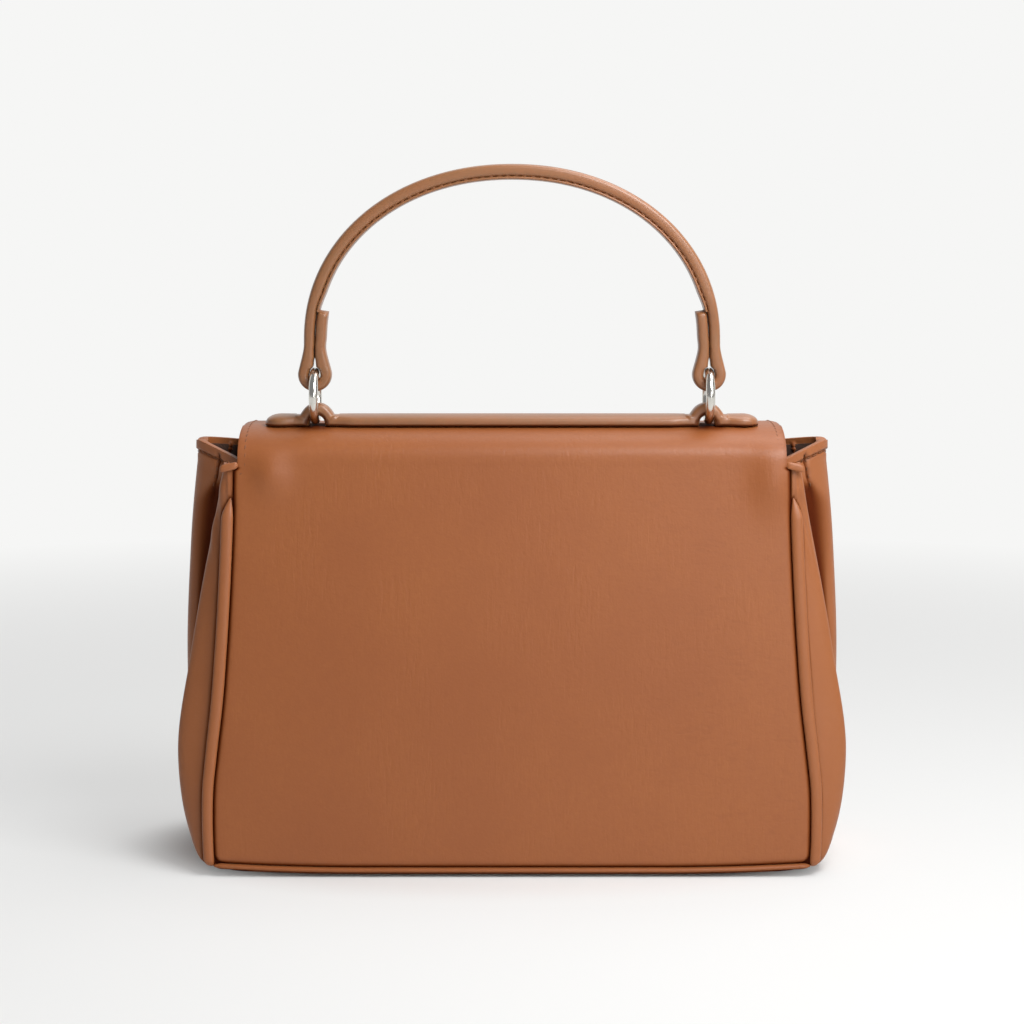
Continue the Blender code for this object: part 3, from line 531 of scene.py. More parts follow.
def stitch_row(name, line, up, length=LONG_STITCH, tilt=0.0):
    """A row of stitches along a line, with the surface's normals there given as up.

    Each stitch is a small closed spindle laid along the line and sunk at both ends.
    """
    sizes = bpy.context.scene.bag_sizes
    run = lengths_along(line)
    count = max(1, int(run[-1] / sizes.stitch_pitch))
    middle = (np.arange(count) + 0.5) * run[-1] / count
    a, b = [values_at(middle + half, run, line) for half in (-length / 2, length / 2)]
    up = values_at(middle, run, up)
    up /= np.linalg.norm(up, axis=1, keepdims=True)
    along = b - a
    along /= np.linalg.norm(along, axis=1, keepdims=True)
    along = along * math.cos(tilt) + np.cross(up, along) * math.sin(tilt)
    side = np.cross(up, along)
    turn = np.linspace(0, 2 * math.pi, 6, endpoint=False)
    radius = (sizes.thread * STITCH_RADII)[:, None]
    height = (sizes.thread * STITCH_HEIGHTS)[:, None] + radius * np.sin(turn)
    rings = (
        ((a + b) / 2)[:, None, None]
        + along[:, None, None] * (STITCH_PLACES * length)[None, :, None, None]
        + side[:, None, None] * (radius * np.cos(turn))[None, :, :, None]
        + up[:, None, None] * height[None, :, :, None]
    )
    corners = len(turn)
    each = len(STITCH_PLACES) * corners
    start = (np.arange(count) * each)[:, None, None]
    quads = (quads_of(len(STITCH_PLACES), corners, wrap=True) + start).reshape(-1, 4)
    ends = np.stack([np.arange(corners)[::-1], np.arange(corners) + each - corners])
    caps = (ends + start).reshape(-1, corners)
    made = make_mesh(name, rings, [*map(tuple, quads), *map(tuple, caps)])
    return finish_piece(made, "waxed_thread", 80)


# Finishes


def add_node(tree, kind, settings=None, **sockets):
    """Adds a node, with its settings, and with values or links on its inputs.

    An input is named with underscores for spaces, or by its number, as i6 is input 6.
    """
    node = tree.nodes.new(kind)
    for key, value in (settings or {}).items():
        setattr(node, key, value)
    for key, value in sockets.items():
        by_number = key[0] == "i" and key[1:].isdigit()
        socket = node.inputs[int(key[1:]) if by_number else key.replace("_", " ")]
        if isinstance(value, bpy.types.NodeSocket):
            tree.links.new(value, socket)
        else:
            socket.default_value = value
    return node


def new_finish(name):
    """An empty material, its node tree, and the place on the object in it."""
    made = bpy.data.materials.new(name)
    made.use_nodes = True
    tree = made.node_tree
    tree.nodes.clear()
    return made, tree, add_node(tree, "ShaderNodeTexCoord").outputs["Object"]


def close_finish(tree, shader):
    """Ends a finish in its shader."""
    add_node(tree, "ShaderNodeOutputMaterial", Surface=shader.outputs[0])


def noise(tree, place, scale, detail, **sockets):
    """Clouds of noise, from 0 to 1."""
    return add_node(
        tree, "ShaderNodeTexNoise", Vector=place, Scale=scale, Detail=detail, **sockets,
    ).outputs["Fac"]


def map_place(tree, place, **sockets):
    """The place, turned or drawn out."""
    return add_node(tree, "ShaderNodeMapping", Vector=place, **sockets).outputs[0]


def calculated(tree, operation, first, second):
    """The result of one operation on two numbers."""
    return add_node(
        tree, "ShaderNodeMath", {"operation": operation}, i0=first, i1=second,
    ).outputs[0]


def tinted(tree, share, first, second):
    """One colour that goes over into another."""
    return add_node(
        tree, "ShaderNodeMix", {"data_type": "RGBA"}, i0=share, i6=first, i7=second,
    ).outputs[2]


def raised(tree, height, strength, distance, over=None):
    """A bump in the surface, laid over another where one is given."""
    node = add_node(
        tree, "ShaderNodeBump", Height=height, Strength=strength, Distance=distance,
    )
    if over:
        tree.links.new(over, node.inputs["Normal"])
    return node.outputs[0]


def map_value(tree, value, low, high, start=0.0, end=1.0, kind="LINEAR"):
    """A value that runs from start to end, mapped to run from low to high."""
    return add_node(
        tree, "ShaderNodeMapRange", {"interpolation_type": kind}, Value=value, i1=start, i2=end,
        i3=low, i4=high,
    ).outputs[0]


def ramp(tree, value, stops):
    """A colour ramp through (place, grey) stops, read as a number."""
    node = add_node(tree, "ShaderNodeValToRGB", Fac=value)
    for element, (place, grey) in zip(node.color_ramp.elements, stops):
        element.position = place
        element.color = (grey, grey, grey, 1)
    return node.outputs["Color"]


def leather_finish(
    name, face, deep, crease, grain, roughness=0.43, creasing=1.0, coat=0.05, relief=1.0,
):
    """Aniline-dyed calf leather, plated smooth: an even tan with slight clouds of dye.

    Its grain is a net of shallow cells a little under a millimetre across, drawn coarser
    than life so that it shows. Upright strokes of grain run through it, and fine level
    creases where the hide was stretched, which is most on the right. The leather is darker
    where it is turned or sewn, and the same darkening is painted shade in folds and recesses,
    beneath the rings and along the base's edge. The finish gives a broad soft sheen.
    """
    made, tree, place = new_finish(name)
    seam = add_node(tree, "ShaderNodeAttribute", {"attribute_name": "seam"}).outputs["Fac"]
    cells = add_node(
        tree, "ShaderNodeTexVoronoi", {"feature": "SMOOTH_F1"}, Vector=place, Scale=1 / grain,
    ).outputs["Distance"]
    pores = noise(tree, place, 0.7 / grain, 3.0)
    clouds = noise(tree, place, 17.0, 3.0, Roughness=0.5)
    fine_clouds = noise(tree, place, 420.0, 4.0, Roughness=0.62)
    patches = noise(tree, place, 34.0, 2.0)
    drawn_up = map_place(tree, place, Scale=(620.0, 300.0, 105.0))
    upright = noise(tree, drawn_up, 1.0, 3.0, Distortion=0.7)
    drawn_out = map_place(tree, place, Rotation=(0.0, 0.22, 0.0), Scale=(110.0, 90.0, 300.0))
    level = noise(tree, drawn_out, 1.0, 3.0, Distortion=1.1)
    from_middle = add_node(tree, "ShaderNodeSeparateXYZ", Vector=place).outputs["X"]
    stretched = map_value(tree, from_middle, 0.15, 1.0, 0.0, 0.105, "SMOOTHSTEP")

    lines = ramp(tree, level, ((0.34, 1.0), (0.44, 0.0)))
    lines = calculated(tree, "MULTIPLY", lines, stretched)
    lines = calculated(tree, "MULTIPLY", lines, 0.05 * creasing)
    # Darker towards the crease colour at seams and edges, and painted shade where the seam values
    # carry it.
    seam_dark_and_shade = calculated(tree, "MULTIPLY", calculated(tree, "POWER", seam, 1.15), 0.96)
    colour = tinted(tree, ramp(tree, clouds, ((0.34, 0.45), (0.66, 1.0))), deep, face)
    colour = tinted(tree, ramp(tree, fine_clouds, ((0.40, 0.30), (0.66, 0.0))), colour, deep)
    colour = tinted(tree, lines, colour, crease)
    colour = tinted(tree, seam_dark_and_shade, colour, crease)

    patchy = ramp(tree, patches, ((0.38, 0.15), (0.64, 1.0)))
    stroke = calculated(tree, "MULTIPLY", patchy, 0.55 * creasing)
    depth = calculated(tree, "MULTIPLY", stretched, 0.24 * creasing)
    surface = raised(tree, cells, 0.32 * relief, 0.00010)
    surface = raised(tree, pores, 0.30 * relief, 0.00014, surface)
    surface = raised(tree, upright, stroke, 0.00024, surface)
    surface = raised(tree, level, depth, 0.00028, surface)

    # The sheen dies out in the seams, which see little of the lamps.
    close_finish(tree, add_node(
        tree, "ShaderNodeBsdfPrincipled", Base_Color=colour, Normal=surface,
        Roughness=map_value(tree, pores, roughness - 0.04, roughness + 0.09),
        Specular_IOR_Level=map_value(tree, seam, 0.40, 0.0, 0.0, 0.65),
        Coat_Weight=coat, Coat_Roughness=0.30,
    ))
    return made


def fibre_finish(name, colour, texture, dark, relief, distance, **sockets):
    """A matt fibrous stuff, tinted and raised by one texture."""
    made, tree, place = new_finish(name)
    height = texture(tree, place)
    close_finish(tree, add_node(
        tree, "ShaderNodeBsdfPrincipled", Normal=raised(tree, height, relief, distance),
        Base_Color=tinted(tree, height, darker(colour, dark), colour), **sockets,
    ))
    return made


def twisted_ribs(tree, place):
    """Waxed polyester thread: strands twisted together, which show as slanting ribs."""
    turned = map_place(tree, place, Rotation=(0.6, 0.0, 0.6))
    return add_node(
        tree, "ShaderNodeTexWave", Vector=turned, Scale=900.0, Distortion=1.0,
    ).outputs["Fac"]


def diagonal_ribs(tree, place):
    """Woven cotton twill: diagonal ribs a millimetre apart, broken up by fuzz."""
    ribs = add_node(
        tree, "ShaderNodeTexWave", {"bands_direction": "DIAGONAL"}, Vector=place, Scale=320.0,
    ).outputs["Fac"]
    return calculated(tree, "MULTIPLY", ribs, noise(tree, place, 900.0, 3.0))


def matted_fibres(tree, place):
    """Pressed leather-fibre board: short matted fibres."""
    return noise(tree, place, 700.0, 5.0)


def nickel_finish(name, colour):
    """Polished nickel plate: a warm grey mirror with faint wiping marks."""
    made, tree, place = new_finish(name)
    smears = noise(tree, place, 260.0, 4.0)
    close_finish(tree, add_node(
        tree, "ShaderNodeBsdfPrincipled", Base_Color=colour, Metallic=1.0,
        Roughness=map_value(tree, smears, 0.15, 0.24),
    ))
    return made


def finish_named(name):
    """A finish by its name, made the first time that it is asked for."""
    found = bpy.data.materials.get(name)
    if found is not None:
        return found
    grain = bpy.context.scene.bag_sizes.grain
    chosen = bpy.context.scene.bag_colours
    colour = {key: tuple(getattr(chosen, key)) for key in BagColours.__annotations__}
    face, deep = colour["leather"], colour["leather_deep"]
    crease, edge = colour["crease"], colour["edge"]
    makers = {
        # Smooth calf of the panels and the flap.
        "plated_calf": lambda: leather_finish(name, face, deep, crease, grain),
        # The same calf, folded and stitched: duller, and less creased.
        "folded_calf": lambda: leather_finish(name, edge, face, crease, grain, 0.45, 0.4),
        # The same calf, rolled over a cord and pressed: shinier, with almost no relief.
        "rolled_calf": lambda: leather_finish(
            name, colour["strap"], edge, crease, grain, 0.38, 0.15, 0.45, 0.45,
        ),
        "waxed_thread": lambda: fibre_finish(
            name, colour["thread"], twisted_ribs, 0.6, 0.3, 0.0001, Roughness=0.55,
        ),
        "cotton_twill": lambda: fibre_finish(
            name, colour["lining"], diagonal_ribs, 0.62, 0.35, 0.0002, Roughness=0.88,
            Sheen_Weight=0.25,
        ),
        "fibre_board": lambda: fibre_finish(
            name, colour["board"], matted_fibres, 0.7, 0.4, 0.0003, Roughness=0.9,
        ),
        "nickel_plate": lambda: nickel_finish(name, colour["nickel"]),
    }
    return makers[name]()


# Body


def edge_roll(distance, depth, run):
    """How far a turned edge falls away: a bell that dies out with the distance from the edge."""
    return depth * bell(np.clip(distance, 0, None), run, 1.5)


def crown_line(places):
    """(y, z) points of the crown's arch at shares of its length from back to front.

    The arch is a superellipse. Just over each fold it leans inwards as the panels do.
    """
    out, up = superellipse(np.linspace(math.pi, 0, 2401), CROWN_POWER)
    y, rise = CROWN_MIDDLE + CROWN_HALF * out, CROWN_RISE * up
    y = y + math.tan(PANEL_SLOPE) * rise * np.exp(-rise / 0.005) * np.sign(CROWN_MIDDLE - y)
    path = np.stack([y, BODY_TOP + rise], axis=1)
    run = lengths_along(path)
    return values_at(np.asarray(places) * run[-1], run, path)


def crown_split():
    """Share of the crown's length at which the two flap sheets meet, under the strap."""
    places = np.linspace(0, 1, 801)
    y, z = crown_line(places).T
    return float(places[np.argmin(np.abs(y - STRAP_Y) + (z < BODY_TOP + 0.01))])


def drop_line(heights):
    """(y, z) points of the flap's front drop, which leans as the front panel does."""
    return np.stack([FOLD_Y + half_depth(heights) - MOUTH_HALF, heights], axis=1)


def welt_share(z):
    """Share of the side welt's full width at a height: quarter ellipses at its tip and foot."""
    tip = np.clip((WELT_TIP - z) / 0.0088, 0, 1)
    foot = 1 - np.clip((z - WELT_LOW) / 0.0032, 0, 1)
    pointed = 1 - (1 - tip) ** 1.55
    return np.maximum(pointed * np.sqrt(np.clip(1 - foot**2, 0, 1)), 0.03)


def welt_sides(z):
    """Distances of the side welt's inner and outer sides from the middle of the bag."""
    share = welt_share(z)
    inner = panel_half(z) + 0.0001 + 0.0012 * (1 - share)
    return inner, inner + (WELT_WIDTH - 0.0006 * fade(z, 0.08, 0.0)) * share


def panel_sheet_half(z):
    """Half a panel's width at a height, with its two lower corners rounded."""
    return panel_half(z) - corner_cut(z - PANEL_FOOT, PANEL_CORNER)


def panel_swell(spread, z, depth):
    """A shallow swelling: a half sine up the panel by the root of a half cosine across it."""
    up = np.sin(np.clip(z / BODY_TOP, 0, 1) * math.pi)
    return depth * np.cos(spread * math.pi / 2) ** 0.7 * up


def edge_distance(grid, with_last_row=True):
    """Distance of each point of a sheet from its side edges, and from its last row if asked."""
    edges = [grid[:, :1], grid[:, -1:], grid[-1:]][:3 if with_last_row else 2]
    return np.min([np.linalg.norm(grid - edge, axis=-1) for edge in edges], axis=0)


def painted_ring_shadow(x, y):
    """How much painted shadow darkens the crown and dulls its sheen beneath each ring, from 0 to 1.
    """
    return 0.9 * bell(np.abs(x) - RING_X, 0.0075, 4) * bell(y - STRAP_Y, 0.0085, 4)


def panel_leather_piece(name, grid, inner, seam):
    """A sheet of the smooth calf, with burnished edges."""
    rounding = bpy.context.scene.bag_sizes.edge_round
    return sheet_piece(name, grid, inner, "plated_calf", seam, rounding)


def back_sheet_rows():
    """(y, z, half width) rows of the back leather: up the panel, over the fold, to the strap."""
    z = np.concatenate([
        PANEL_FOOT + PANEL_FIRST_ROWS, np.linspace(PANEL_FOOT + 0.006, BODY_TOP - 0.004, 64),
        BODY_TOP - np.array([0.0028, 0.0022, 0.0019, 0.0016, 0.0013, 0.001, 0.0007, 0.0004]),
    ])
    half = panel_sheet_half(z)
    half = half + (FLAP_HALF - half) * fade(z, BODY_TOP - 0.0022, BODY_TOP - 0.0008)
    panel = np.stack([-half_depth(z), z, half], axis=1)
    crown = crown_line(np.linspace(0, crown_split(), 40))
    over = np.concatenate([crown, np.full((len(crown), 1), FLAP_HALF)], axis=1)
    return np.concatenate([panel, over]), len(panel)


def back_leather():
    """The sheet that is the back panel and runs on over the fold as the back of the flap.

    Across it a row is straight. The panel swells, bulges at its two upper corners, and
    falls away in a bell along its seams.
    """
    rows, on_panel = back_sheet_rows()
    spread = spread_to_edges(91)
    y, z, half = np.broadcast_arrays(*np.moveaxis(rows[:, None], -1, 0), spread)[:3]
    x = half * spread
    from_side = half * (1 - np.abs(spread))
    from_low = np.clip(z - PANEL_FOOT, 0, None)
    panel = (np.arange(len(rows)) < on_panel)[:, None]
    by_welt = fade(z, WELT_TIP + 0.002, WELT_TIP - 0.004)
    fall = edge_roll(from_side, *SIDE_FALL) * by_welt + edge_roll(from_low, *LOW_FALL)
    fall = fall + edge_roll(from_side, *FREE_FALL) * (1 - by_welt)
    y = y + np.where(panel, fall - panel_swell(spread, z, SWELL_BACK), 0)
    for middle_x, middle_z, wide, high in BULGES:
        y = y - BULGE_DEPTH * bell(x - middle_x, wide) * bell(z - middle_z, high)
    grid = np.stack([x, y, z], axis=-1)
    grid = np.where(panel[..., None], settle(grid), grid)
    normals = grid_normals(grid, (0, -1, 0), (on_panel // 2, len(spread) // 2))
    inner = grid - normals * np.where(panel, LEATHER, FLAP_LEATHER)[..., None]
    # The seams are shaded, and the crown beneath each ring carries painted shadow.
    seam = np.max([
        bell(from_side, SIDE_SHADE) * np.where(panel, 1.0, 0.25), bell(from_low, LOW_SHADE),
        painted_ring_shadow(x, y) * ~panel,
    ], axis=0)
    made = panel_leather_piece("back_leather", grid, inner, seam)
    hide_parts("back_panel")
    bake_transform(made)


def front_panel_leather():
    """The front panel, which swells and turns at its seams as the back one does."""
    heights = np.concatenate([
        PANEL_FOOT + PANEL_FIRST_ROWS, np.linspace(PANEL_FOOT + 0.006, FRONT_TOP, 60),
    ])
    spread = spread_to_edges(41)
    z = np.repeat(heights[:, None], len(spread), axis=1)
    half = panel_sheet_half(z)
    from_side, from_low = half * (1 - np.abs(spread)), z - PANEL_FOOT
    fall = edge_roll(from_side, *SIDE_FALL) + edge_roll(from_low, *LOW_FALL)
    fall = fall * fade(z, FRONT_TOP - 0.001, FRONT_TOP - 0.013)
    y = half_depth(z) + panel_swell(spread, z, SWELL_FRONT) - fall
    grid = settle(np.stack([half * spread, y, z], axis=-1))
    inner = grid - grid_normals(grid, (0, 1, 0), (30, 30)) * LEATHER
    seam = np.maximum(bell(from_side, SIDE_SHADE), bell(from_low, LOW_SHADE))
    made = panel_leather_piece("front_leather", grid, inner, seam)
    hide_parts("front_panel")
    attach(made, "bag_body")


def flap_front_rows():
    """(y, z, half width) rows of the flap from under the strap, over the front fold, to its tip."""
    crown = crown_line(np.linspace(crown_split(), 1, 60))
    heights = np.concatenate([
        np.linspace(BODY_TOP - 0.0012, DROP_LOW + FLAP_CORNER + 0.002, 34),
        DROP_LOW + FLAP_CORNER * slow_start(26)[::-1],
    ])
    half = np.concatenate([
        np.full(len(crown), FLAP_HALF), FLAP_HALF - corner_cut(heights - DROP_LOW, FLAP_CORNER),
    ])
    return np.column_stack([np.concatenate([crown, drop_line(heights)]), half])


def flap_grid(rows, spread, inset=0.0):
    """The flap's face over its rows, drawn in from its edges."""
    x = np.clip(rows[:, 2:] - inset, 0.001, None) * spread
    y, z = (np.broadcast_to(rows[:, k:k + 1], x.shape) for k in (0, 1))
    return np.stack([x, y, z], axis=-1)


def flap_front_leather():
    """The flap from under the strap to its tip, with its free edges turned a little."""
    grid = flap_grid(flap_front_rows(), spread_to_edges(61))
    normals = grid_normals(grid, (0, 0, 1), (10, 30))
    distance = edge_distance(grid)
    grid = grid - normals * edge_roll(distance, 0.0005, 0.0012)[..., None]
    x, y, z = np.moveaxis(grid, -1, 0)
    # The burnished edges are a little darker, and the crown beneath each ring carries painted
    # shadow.
    seam = np.maximum(0.3 * bell(distance, 0.0015), painted_ring_shadow(x, y) * (z > BODY_TOP + 0.010))
    made = panel_leather_piece("flap_leather", grid, grid - normals * FLAP_LEATHER, seam)
    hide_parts("flap_crown", "flap_drop")
    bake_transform(made)


def flap_lining_piece(name, rows, at, with_tip):
    """Twill under a part of the flap: level inside, and drawn up to the leather at its edges."""
    grid = flap_grid(rows, spread_to_edges(31), 0.0004)
    normals = grid_normals(grid, (0, 0, 1), at)
    drop = (0.0029 - FLAP_LEATHER) * fade(edge_distance(grid, with_tip), 0.002, 0.007)
    first = grid - normals * (FLAP_LEATHER + 0.00005 + drop)[..., None]
    return sheet_piece(name, first, first - normals * CLOTH, "cotton_twill")


def flap_linings():
    """The flap's lining, cut to the same shape as the leather, and a strip behind the strap."""
    made = flap_lining_piece("flap_lining", flap_front_rows(), (10, 24), True)
    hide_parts("flap_crown_lining", "flap_drop_lining")
    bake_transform(made)
    line = crown_line(np.linspace(0.06, crown_split(), 24))
    rows = np.column_stack([line, np.full(len(line), FLAP_HALF)])
    made = flap_lining_piece("flap_lining_back", rows, (12, 15), False)
    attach(made, "flap_crown")


# Gussets

GUSSET_SHARES = np.concatenate([np.linspace(0, 0.94, 90), 1 - np.linspace(0.058, 0, 34)])
GUSSET_HALF_PLACES = np.concatenate([
    np.linspace(0, 2.6, 54, endpoint=False), np.linspace(2.6, 4.2, 84, endpoint=False),
    np.linspace(4.2, LAST_PLACE / 2, 18),
])
GUSSET_PLACES = np.concatenate([GUSSET_HALF_PLACES, LAST_PLACE - GUSSET_HALF_PLACES[-2::-1]])


def from_seams(places):
    """How far a place across the gusset is from the nearer of its two seams."""
    return np.minimum(places, LAST_PLACE - places)


def gusset_surface(hand, shares, places):
    """A gusset's outer face on a grid of height shares and of places across its folds.

    Across, a Catmull-Rom curve runs seam, crest, valley, wing, valley, crest, seam. Up the
    bag each fold keeps its own reach past the panel's edge, so the pleats open and close.
    Near the mouth each crest is pressed flat against its valley, and the leaf beside the
    panel comes forward to lie level with it.
    """
    rim = np.concatenate([BACK_RIM_RISE, FRONT_RIM_RISE[-2::-1]])
    weights = spline_weights(len(rim), places)
    low = LEATHER + CLEAR
    top = BODY_TOP + weights @ rim
    z = low + shares[:, None] * (top - low)
    part = z / BODY_TOP
    pressed = fade(part, 0.80, 0.97)
    foot = 1 - np.clip((z - low) / 0.007, 0, 1)
    edge = straight_half(z) - 0.0040 * (1 - np.sqrt(1 - foot**2))
    seam = panel_half(z)
    crest, valley, wing = (
        edge + reach_at(table, part) for table in (CREST_REACH, VALLEY_REACH, WING_REACH)
    )
    x = [seam - 0.004, seam + 0.0026, crest, valley, wing - 0.0024, wing]
    inner = half_depth(z) - across(LEATHER + CLEAR)
    y = [
        inner, inner, inner - 0.0065 + 0.0028 * pressed, inner * (0.5 + 0.26 * pressed),
        inner * 0.29, inner * 0,
    ]
    x = np.einsum("rck,ck->rc", np.stack(x + x[-2::-1], axis=-1), weights)
    y = np.einsum("rck,ck->rc", np.stack([-v for v in y] + y[-2::-1], axis=-1), weights)
    y = np.clip(y, -inner, inner)
    from_seam = from_seams(places)
    leaf = fade(from_seam, 0.60, 0.74) * fade(from_seam, 2.1, 1.5)
    y = y + LEAF_FORWARD * leaf * fade(z, WELT_TIP - 0.003, WELT_TIP + 0.003) * np.sign(y)
    return settle(points_of(hand * x, y, z))


def fold_line(z):
    """How far out a leaf is pinched against its wing, at a height."""
    return straight_half(z) + np.interp(z, FOLD_HEIGHTS, FOLD_REACHES)


def gusset_detail(hand):
    """A gusset's face with its turned rim, sewn pinches, slight puckers and folded leaves.

    Also gives the normals, how dark each place is and how far the rim is turned in. It is
    dark in the rim's seam groove and the stitched lines; beside the welt it is a dark seam
    line, widened on the left leaf into painted shade; and it is painted shade in the deep
    fold that opens under the pinch. The right leaf has sharper slanting folds, as the bag
    leans on that side.
    """
    shares, places = GUSSET_SHARES[:, None], GUSSET_PLACES
    grid = gusset_surface(hand, GUSSET_SHARES, places)
    normals = grid_normals(grid, (hand, 0, 0), (40, len(places) // 2))
    from_rim = np.linalg.norm(grid - grid[-1:], axis=-1)
    from_seam = from_seams(places)
    x, z = np.abs(grid[..., 0]), grid[..., 2]
    past_fold = x - fold_line(z)
    past_leaf = fade(from_seam, 2.0, 2.5)
    on_leaf = from_seam < 2.0

    turned = fade(from_rim, 0.0038, 0.0032)
    groove = bell(from_rim - RIM_SEAM, 0.0006) * past_leaf
    rim = RIM_TURN * turned * past_leaf - RIM_GROOVE * groove
    on_wall = fade(from_seam, 2.7, 2.9) * fade(from_seam, 4.3, 4.1)
    sewn = fade(from_rim, 0.0008, 0.0028) * fade(from_rim, 0.026, 0.018) * on_wall
    pinch = PINCH_DEPTH * bell(past_fold, 0.0008) * sewn
    wave = PUCKER * np.sin(from_rim / 0.0032 * math.pi) * bell(past_fold, 0.0022) * sewn
    gather = GATHER * np.sin(places * 8.3 + 0.6) * fade(shares, 0.16, 0.02)
    sag = SAG * np.sin(shares * 9.0) * np.sin(np.clip(places - 4, 0, 2) * math.pi / 2) ** 2
    past_seam, down = (x - panel_half(z)) * math.pi, LEAF_TOP - z
    if hand > 0:
        drawn = 1.6 * np.abs(np.sin(past_seam / 0.0030 - down / 0.0068)) - 0.9
    else:
        drawn = 0.7 * np.sin(past_seam / 0.0026 + down / 0.0075)
    along = fade(z, LEAF_TOP, LEAF_TOP - 0.006) * fade(z, 0.118, 0.138)
    leaf_fold = LEAF_FOLD * along * drawn * fade(from_seam, 0.9, 1.2) * on_leaf
    detailed = grid + normals * (rim - pinch + wave + gather + sag + leaf_fold)[..., None]

    beside = np.where(z < WELT_TIP, welt_sides(z)[1], panel_half(np.minimum(z, BODY_TOP)) + 0.0002)
    # Beside the welt: a dark seam line, widened on the left leaf, which lies in shade, into painted
    # shade.
    by_welt = bell(np.clip(x - beside, 0, None), 0.0010 if hand < 0 else 0.0005) * on_leaf
    # Painted shade in the deep fold under the pinch, where the crest shades the wing behind it.
    opening = 0.0012 + 0.0046 * fade(z, 0.159, 0.147) * fade(z, 0.100, 0.148)
    painted_fold_shade = bell(np.clip(past_fold, 0, None), opening) * fade(z, 0.080, 0.110)
    painted_fold_shade = painted_fold_shade * fade(z, 0.160, 0.154) * ((from_seam > 2.4) & (from_seam < 4.3))
    stitched = bell(past_fold, 0.00055) * sewn
    seam = np.max([0.95 * stitched, 0.5 * groove, by_welt, 0.97 * painted_fold_shade], axis=0)
    return detailed, normals, seam, turned


def gussets():
    """Both gussets, each thickest at its turned rim, with the lip of its back leaf."""
    hem = 0.0012 + 0.0016 * fade(np.abs(GUSSET_PLACES - LAST_PLACE / 2), 1.25, 0.25)
    for side, hand in SIDES:
        grid, normals, seam, turned = gusset_detail(hand)
        inner = grid - normals * (GUSSET_LEATHER + hem * turned)[..., None]
        made = sheet_piece(
            "gusset_leather_" + side, grid, inner, "folded_calf", seam, GUSSET_ROUND,
        )
        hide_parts("gusset_" + side)
        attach(made, "bag_body")
        gusset_lip(side, hand)


def gusset_lip(side, hand):
    """The turned top edge of a leaf, a soft flat roll over the panel's corner at the notch."""
    start, end, height, thickness = 0.1112, 0.1187, 0.0031, 0.0014
    along = (1 - np.cos(np.linspace(0, math.pi, 40))) / 2
    x = start + (end - start) * along
    away = np.abs(x - (start + end) / 2) / ((end - start) / 2 + 0.00002)
    share = np.sqrt(np.clip(1 - away**5, 0.004, 1))
    section = soft_section(height * share, thickness * share, 24, 2.4)
    z = (BODY_TOP + 0.0006 - 0.0017 * along)[:, None] + section[..., 0]
    y = -half_depth(z) - 0.00008 - (thickness * share)[:, None] - section[..., 1]
    # The lip's side that lies on the panel is painted with shade.
    made = swept_piece(
        "gusset_lip_" + side, points_of(hand * x[:, None], y, z), "folded_calf",
        seam=0.5 * fade(-section[..., 1], 0.0010, 0.0015),
    )
    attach(made, "bag_body")


# Lining and pocket


def bag_lining():
    """The lining: walls that follow the panels and the gussets round the bag, and a floor."""
    shares = np.linspace(0.012, 0.985, 60)
    spread = np.linspace(-1, 1, 41)
    sides = []
    for hand in (1, -1):
        grid = gusset_surface(hand, shares, np.linspace(0, LAST_PLACE, 121))
        inwards = grid_normals(grid, (hand, 0, 0), (30, 60)) * (GUSSET_LEATHER + CLEAR)
        sides.append(grid - inwards)
    low, top = LEATHER + CLEAR + 0.003, BODY_TOP - 0.005
    z = (low + shares * (top - low))[:, None]
    half = panel_half(z) - 0.006
    depth = half_depth(z) - across(0.0036)
    back = settle(points_of(half * spread, -depth, z))
    front = settle(points_of(half * spread[::-1], depth, z))
    loop = np.concatenate([back, sides[0], front, sides[1][:, ::-1]], axis=1)
    inner = loop - grid_normals(loop, (0, -1, 0), (30, 20), wrap=True) * CLOTH
    rows, columns = loop.shape[:2]
    count = rows * columns
    walls = quads_of(rows, columns, wrap=True)
    index = np.arange(count).reshape(rows, columns)
    after = np.roll(index, -1, axis=1)
    foot, head = (
        np.stack([index[row], after[row], after[row] + count, index[row] + count], axis=-1)
        for row in (0, -1)
    )
    faces = np.concatenate([walls, walls[:, ::-1] + count, foot[:, ::-1], head])
    made = make_mesh("lining_walls", np.concatenate([loop, inner]), faces)
    finish_piece(made, "cotton_twill")
    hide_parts("lining_bag")
    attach(made, "bag_body")

    end, depth = PANEL_BASE_HALF - 0.0065, half_depth(0.004) - across(0.0044)
    x, y = np.meshgrid(np.linspace(-end, end, 41), np.linspace(-depth, depth, 21))
    floor = settle(points_of(x, y, 0.0046))
    made = sheet_piece("lining_floor", floor, floor - (0, 0, CLOTH), "cotton_twill")
    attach(made, "bag_body")


def slip_pocket():
    """A flat pocket on the back wall. Its front bows out a little; its mouth has a turned hem."""
    low, high, half = 0.0452, 0.1342, 0.075
    z, x = np.meshgrid(np.linspace(low, high, 40), np.linspace(-half, half, 61), indexing="ij")
    stand = 0.0064 * fade(half - np.abs(x), 0, 0.006) * fade(z - low, 0, 0.006)
    stand = stand + 0.0006 * fade(z, high - 0.010, high - 0.009)
    grid = points_of(x, across(0.0045) - half_depth(z) + stand, z)
    inner = grid - grid_normals(grid, (0, 1, 0), (20, 30)) * CLOTH
    made = sheet_piece("pocket_cloth", grid, inner, "cotton_twill")
    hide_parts("slip_pocket")
    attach(made, "bag_body")


# Welts


